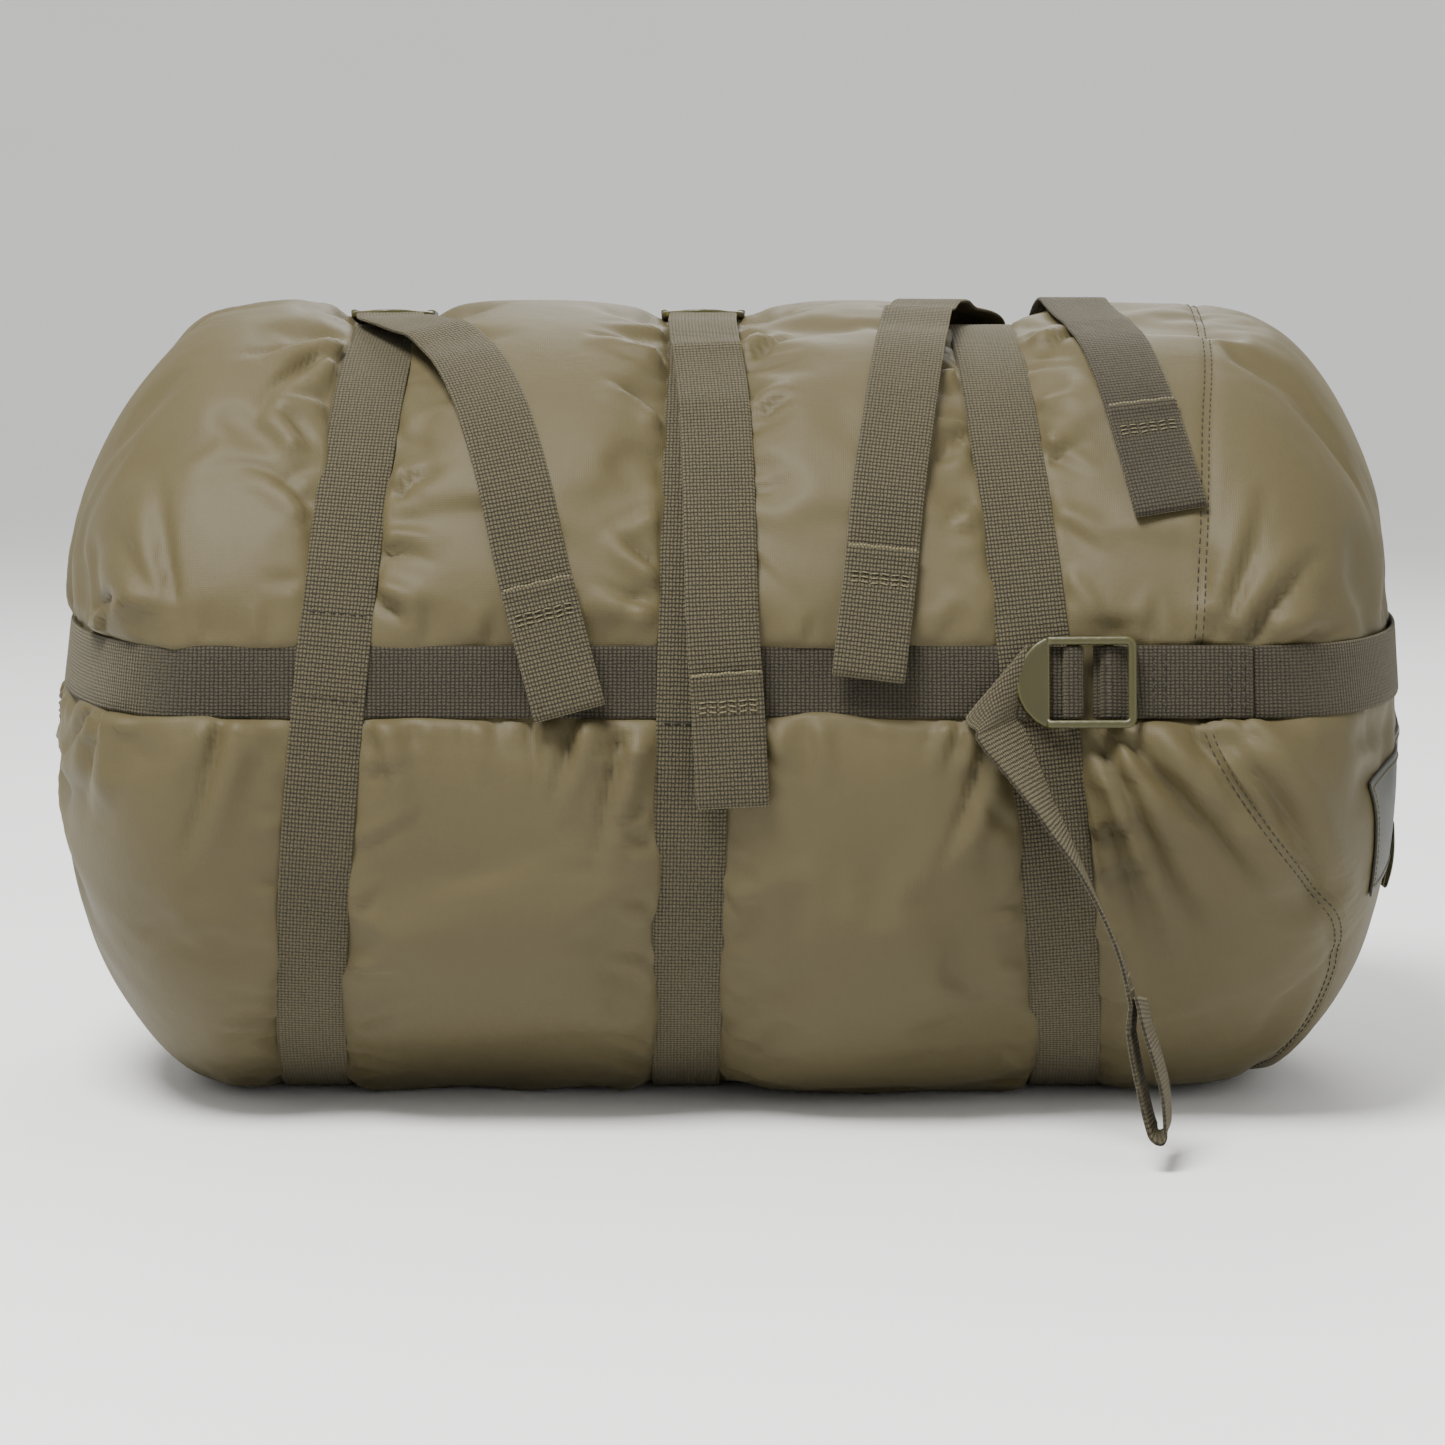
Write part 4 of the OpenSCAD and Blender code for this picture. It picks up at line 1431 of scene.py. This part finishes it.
def make_filling():
    """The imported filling: a crumpled closed form just inside the fabric."""
    m = np.concatenate([np.linspace(-PROFILE_END[-1] + 4, -STRAIGHT, 30),
                        np.linspace(-STRAIGHT, STRAIGHT, 40)[1:],
                        np.linspace(STRAIGHT, PROFILE_END[1] - 4, 30)[1:]])
    deg = np.linspace(0, 360, 80, endpoint=False)
    rings = []
    for at in m:
        here = np.full(len(deg), at)
        base = surface(here, deg, FILLING_IN)
        rings.append(surface(here, deg, FILLING_IN + lumps(base, 26, 21)))
    points, faces = loft(rings)
    uvs = [(points[v, 0], points[v, 1] + points[v, 2]) for f in faces for v in f]
    filling = new_object("crumpled_filling", points, faces, uvs)
    dress(filling, FILLING, "root", ["packed_filling"])


# ---------------------------------------------------------------- the locks
def oval(centre, side, up, wide, tall, power=3.0, count=20):
    """A ring like a rounded rectangle."""
    turn = np.linspace(0, 2 * math.pi, count, endpoint=False)
    c, s = np.cos(turn), np.sin(turn)
    a = np.sign(c) * np.abs(c) ** (2 / power) * wide / 2
    b = np.sign(s) * np.abs(s) ** (2 / power) * tall / 2
    return np.asarray(centre) + a[:, None] * np.asarray(side) + b[:, None] * np.asarray(up)


# The rim's half width and its end, and its corners' middle, x and y, and radius
RIM_HALF, RIM_END, RIM_CORNER = 14.3, -7.7, (-5.5, 12.1, 2.2)
RIM_LOW = ([-9, -6.3, -4.6, -2, 8, 11, 18, 24], [4.1, 4.0, 0.6, -1.6, -1.5, -0.6, -0.1, 0])
RIM_HIGH = ([-9, -6.4, 6, 14, 20.4, 24], [6.0, 6.2, 5.0, 4.2, 3.4, 2.7])
GRIP_X, GRIP_Z = 12.1, 0.6
LOCK_VOXEL = 0.42
TAB_START, TAB_TIP, TAB_ROUND, TAB_HALF = 20.4, 31.6, 17, 15.4
TAB_LOW = ([20.4, 24, 28, 31.6], [0, 0, 0.1, 0.8])
TAB_HIGH = ([20.4, 24, 28, 31.6], [3.0, 2.5, 2.1, 2.2])


def rim_parts():
    """The lock's rim, from beside the tab round behind the fixed bar, and its raised bead."""
    x, y, round_it = RIM_CORNER
    line = [(on, RIM_HALF) for on in (21, 14, 8, 2, -3, x)]
    line += [(x - round_it * math.sin(t), y + round_it * math.cos(t))
             for t in np.linspace(0.2, math.pi / 2, 6)]
    line += [(RIM_END, 8), (RIM_END, 4), (RIM_END, 0)]
    line += [(x, -y) for x, y in line[-2::-1]]
    line = np.array(line)
    flat = np.column_stack([line, 0 * line[:, 0]])
    rim, bead = [], []
    for p, s in zip(line, np.cross([0, 0, 1], headings(flat))):
        low, high = np.interp(p[0], *RIM_LOW), np.interp(p[0], *RIM_HIGH)
        rim.append(oval([p[0], p[1], (low + high) / 2], s, [0, 0, 1], 2.6, high - low))
        bead.append(oval([p[0], p[1], high - 0.55], s, [0, 0, 1], 3.0, 1.7, 2.2))
    return [loft(rim), loft(bead)]


def tab_part():
    """The thumb tab, with its rounded end."""
    rings = []
    for x in np.concatenate([np.linspace(TAB_START, TAB_TIP - 1.2, 12),
                             [TAB_TIP - 0.6, TAB_TIP - 0.2, TAB_TIP - 0.02]]):
        half = math.sqrt(TAB_ROUND ** 2 - (x - TAB_TIP + TAB_ROUND) ** 2)
        half = min(half, TAB_HALF)
        low, high = np.interp(x, *TAB_LOW), np.interp(x, *TAB_HIGH)
        rings.append(oval([x, 0, (low + high) / 2], [0, 1, 0], [0, 0, 1], 2 * half,
                          high - low, 9, 40))
    return loft(rings)


def bar_part(x, z, wide, tall, power):
    return loft([oval([x, y, z], [1, 0, 0], [0, 0, 1], wide, tall, power)
                 for y in (-13.8, 0, 13.8)])


def lock_mesh():
    """One moulded ladder lock in its own frame: rim, thumb tab, fixed bar and grip bar."""
    parts = rim_parts() + [tab_part(), bar_part(0, 0, 2.8, 2.8, 2),
                           bar_part(GRIP_X, GRIP_Z, 4, 2.4, 3)]
    points, faces = [], []
    for p, f in parts:
        start = sum(len(q) for q in points)
        points.append(p)
        faces += [tuple(start + v for v in face) for face in f]
    solid = new_object("lock_form", np.concatenate(points), faces)
    modifier = solid.modifiers.new("remesh", "REMESH")
    modifier.mode = "VOXEL"
    modifier.voxel_size = LOCK_VOXEL * MM
    smooth = solid.modifiers.new("smooth", "SMOOTH")
    smooth.factor, smooth.iterations = 0.5, 4
    mesh = applied(solid)
    mesh.polygons.foreach_set("use_smooth", [True] * len(mesh.polygons))
    bpy.data.objects.remove(solid)
    return mesh


def make_locks():
    form = lock_mesh()
    for name in SITES:
        origin, axes = lock_axes(name)
        place = Matrix(axes.tolist()).to_4x4()
        place.translation = Vector(origin) * MM
        mesh = form.copy()
        mesh.transform(place)
        dress(placed(name + "_lock", mesh), PLASTIC, name + "_lock",
              [name + "_ladder_lock"])


make_locks()
make_seam()
make_label()
make_tag()
make_hem()
make_eyelet()
make_filling()


# ---------------------------------------------------------------- webbing in the locks
def bend_path(leg_end):
    """Over the grip bar and out under the tab, as the inner face and outward directions."""
    half, tall = 2.0, 1.2
    turn = np.radians(np.linspace(180, 0, 19))
    c, s = np.cos(turn), np.sin(turn)
    arch = np.stack([GRIP_X + (half + 0.15) * np.sign(c) * np.abs(c) ** 0.7,
                     GRIP_Z + (tall + 0.12) * s ** 0.7], -1)
    arch_out = np.stack([c, s + 0.05], -1)
    rise = np.array([[GRIP_X - half - 0.15, -1.3], [GRIP_X - half - 0.15, -0.4]])
    rise_out = np.array([[-1, 0], [-1, 0]])
    inner = GRIP_X + half + 0.15
    turn = np.radians(np.linspace(0, 90, 7))
    foot = np.stack([inner + 1.5 - 1.5 * np.cos(turn), 0.0 - 1.5 * np.sin(turn) + 0.05], -1)
    foot_out = np.stack([np.cos(turn), np.sin(turn)], -1)
    leg_x = np.linspace(inner + 4, leg_end, max(2, int((leg_end - inner) / 3)))
    leg = np.stack([leg_x, 0 * leg_x - 1.45], -1)
    leg_out = np.stack([0 * leg_x, 0 * leg_x + 1], -1)
    return (np.concatenate([rise, arch, foot, leg]),
            np.concatenate([rise_out, arch_out, foot_out, leg_out]))


def riser_path():
    """From the strap on the sack up to the grip bar's rear side."""
    x = GRIP_X - 2.15
    low = -BAR_OUT + 0.05
    path = np.array([[x + 7, low], [x + 3, low], [x + 1.2, low + 0.3], [x + 0.2, low + 1.0],
                     [x, low + 1.7], [x, -0.6]])
    out = np.array([[0, 1], [0, 1], [-0.5, 1], [-1, 0.6], [-1, 0.1], [-1, 0]])
    return path, out


# The belt's tail is folded down off it along a slanting line
FOLD_LEG, FOLD_SLANT = 38.5, 0.85
# A girth bend stops short of its tail, so that the lifted tail clears it
GIRTH_LEG = 32.2
# Webbing is pressed thinner in a lock
BEND_T = 1.35


def make_bends():
    for name in SITES:
        girth = name in PLANES
        path, out = bend_path(GIRTH_LEG if girth else FOLD_LEG)
        points, faced = strap_in_lock(name, path, out)
        faced = unit(faced)
        side = sideways(faced, points)
        if not girth:
            slant = FOLD_SLANT * eased(path[:, 0], FOLD_LEG - 20, FOLD_LEG)
            tail_side = -1 if name == "front" else 1
            towards = side[:, 2:] * tail_side
            side = side + headings(points) * slant[:, None] * np.sign(towards)
        bend = webbing(name + "_bend", points, faced, thick=BEND_T, side=side)
        if girth:
            dress(bend, WEBBING, name + "_lock", [name + "_strap_bend"])
        else:
            dress(bend, BELT_WEBBING, replaces=[name + "_belt_bend"])
            blend_at_lock(bend, name, [FOLD_LEG - 1, 0, -1], [20, 0, -1])
        points, faced = strap_in_lock(name, *riser_path(), False)
        riser = webbing(name + "_riser", points, unit(faced), thick=BEND_T)
        dress(riser, web_of(name))
        blend_at_lock(riser, name, [10, 0, -2.6], [10, 0, -0.9], False)


make_bends()


# ---------------------------------------------------------------- the tails
# How far the sewn end of a pull loop stands up, and its rows of stitches past that end
LOOP_LIP, PULL_ROWS = 1.7, (9, 10.7, 12.4)


def with_pull_loop(points, out, back=PULL_LOOP, slack=1.1):
    """A strap's course whose end turns outwards and is sewn back on itself."""
    run = walked(points)
    end, end_out = points[-1], unit(out[-1])
    along = headings(points)[-1]
    radius = WEB_T + slack / 2
    turn = np.radians(np.linspace(0, 180, 11))[1:-1]
    centre = end + end_out * radius
    tip = (centre - end_out * np.cos(turn)[:, None] * radius
           + along * np.sin(turn)[:, None] * radius * 1.2)
    tip_out = end_out * np.cos(turn)[:, None] - along * np.sin(turn)[:, None]
    s = np.linspace(0, back, 16)
    base = along_line(run[-1] - s, run, points)
    base_out = unit(along_line(run[-1] - s, run, out))
    close = 1 - eased(s, 0, back * 0.45)
    lip = eased(s, back - 4, back) * LOOP_LIP
    rise = 2 * WEB_T + 0.12 + (slack - 0.12) * close + lip
    layer = base + base_out * rise[:, None]
    path = np.concatenate([points, tip, layer])
    path_out = np.concatenate([out, tip_out, -base_out])
    return path, unit(path_out)


def tail_course(name):
    route = catmull(ROUTES[name], 6)
    points, out = over_sack(route), off_axis(np.radians(route[:, 1]))
    return clear_of_fabric(points, out), out


def lying_tail(name):
    """A tail over the sack. It keeps its CAD route's length and stands on the fabric."""
    points, out = tail_course(name)
    path, path_out = with_pull_loop(points, out)
    tail = webbing(name + "_tail", path, path_out)
    node = name + ("_strap_tail" if name in PLANES else "_belt_tail")
    dress(tail, web_of(name), name + "_tail", [node])
    key = (name + "_tail_thread", name + "_tail", THREAD)
    raw_edge = walked(points)[-1] - PULL_LOOP
    for past in PULL_ROWS:
        crossing_row(key, points, out, raw_edge + past, rise=2 * WEB_T + 0.25, thick=0.5)
    # The doubled layer's sealed raw edge
    crossing_row(key, points, out, raw_edge - 0.2, inset=0.3, rise=2 * WEB_T + 0.9, long=1.2,
                 gap=0.05, thick=1.1)


for tail_name in ROUTES:
    lying_tail(tail_name)


def front_tail():
    """The belt's front tail: folded down off the belt, twisted edge-on, with its pull loop."""
    line = front_line()
    out = turned(line)
    loop = catmull(PULL_ROUTE, 6)
    loop_out = unit(np.cross(headings(loop), PULL_WIDTH))
    path = np.concatenate([line[:, :3], loop[6:]])
    tail = webbing("front_tail", path, np.concatenate([out, loop_out[6:]]))
    dress(tail, WEBBING, "front_tail", ["front_belt_tail"])
    key = ("front_tail_thread", "front_tail", THREAD)
    for back in (3, 6, 11):
        crossing_row(key, line[:, :3], out, walked(line[:, :3])[-1] - back,
                     rise=WEB_T + 0.1, thick=0.5)


front_tail()


def make_fold(name, tail_points, tail_out):
    """The slanted fold between a belt bend's leg and the start of its tail."""
    along, across = lock_direction(name, [[1, 0, 0], [0, 1, 0]])
    across = across * np.sign((tail_points[6] - tail_points[0]) @ across)
    first = in_lock(name, [[FOLD_LEG - 0.5, 0, 0.1]])[0]
    first_side = across + FOLD_SLANT * along
    last_side = unit(np.cross(tail_out[0], headings(tail_points)[0]))
    last_side = last_side * np.sign(last_side @ first_side)
    first_out = lock_direction(name, [[0, 0, 1]])[0]
    share = np.linspace(0, 1, 10)[:, None]
    smooth = eased(share, 0, 1)
    out = unit(first_out * (1 - share) + tail_out[0] * share)
    points = first * (1 - share) + tail_points[0] * share
    points = points + out * 1.2 * np.sin(share * math.pi)
    side = first_side * (1 - smooth) + last_side * smooth
    if np.cross(headings(points)[0], side[0]) @ out[0] < 0:
        side = -side
    fold = webbing(name + "_fold", points, out, side=side, level_end=-1)
    dress(fold, WEBBING if name == "front" else BELT_WEBBING)
    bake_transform(fold)


make_fold("front", front_line()[:, :3], turned(front_line()))
make_fold("rear", *tail_course("rear"))
make_threads()


# ---------------------------------------------------------------- stage and lights
FLOOR_FLAT, FLOOR_RISE, FLOOR_Z, FLOOR_SIDES = 3.2, 2.6, -0.0004, 96
SKY = 0.8
# Each lamp: its name, place, what it points at, size and power
LAMPS = [("key", (-0.5, -0.9, 1.8), (0, 0, 0.16), 0.8, 82),
         ("fill", (1.3, -1.2, 0.7), (0, 0, 0.12), 1.2, 6),
         ("back", (0.2, 1.4, 1.3), (0, 0, 0.15), 1.0, 18)]


def make_stage():
    """A floor that curves up into a wall all round, so that no horizon shows."""
    turn = np.linspace(0, math.pi / 2, 25)
    profile = [(r, FLOOR_Z) for r in (0.6, 1.4, 2.3)]
    profile += [(FLOOR_FLAT + FLOOR_RISE * math.sin(t),
                 FLOOR_Z + FLOOR_RISE * (1 - math.cos(t))) for t in turn]
    turns = [2 * math.pi * k / FLOOR_SIDES for k in range(FLOOR_SIDES)]
    points = [(r * math.cos(t), r * math.sin(t), z) for r, z in profile for t in turns]
    faces = [tuple(range(FLOOR_SIDES))]
    faces += [face[::-1] for face in tube_faces(len(profile), FLOOR_SIDES)]
    mesh = bpy.data.meshes.new("floor")
    mesh.from_pydata(points, [], faces)
    mesh.polygons.foreach_set("use_smooth", [True] * len(faces))
    material, tree = new_material("pale_floor", 0.7)
    speck = noise(tree, object_place(tree), 3)
    finish(tree, Base_Color=colour_mix(tree, speck, (0.84, 0.84, 0.83, 1),
                                       (0.88, 0.88, 0.87, 1)))
    mesh.materials.append(material)
    placed("floor", mesh)


def make_lights():
    world = bpy.data.worlds.new("studio")
    world.use_nodes = True
    background = world.node_tree.nodes["Background"].inputs
    background["Color"].default_value = (1, 1, 1, 1)
    background["Strength"].default_value = SKY
    bpy.context.scene.world = world
    for name, place, aim, size, power in LAMPS:
        data = bpy.data.lights.new(name, "AREA")
        data.shape, data.size, data.energy = "DISK", size, power
        lamp = placed(name, data)
        lamp.location = place
        towards = Vector(aim) - Vector(place)
        lamp.rotation_euler = towards.to_track_quat("-Z", "Y").to_euler()


make_stage()
make_lights()
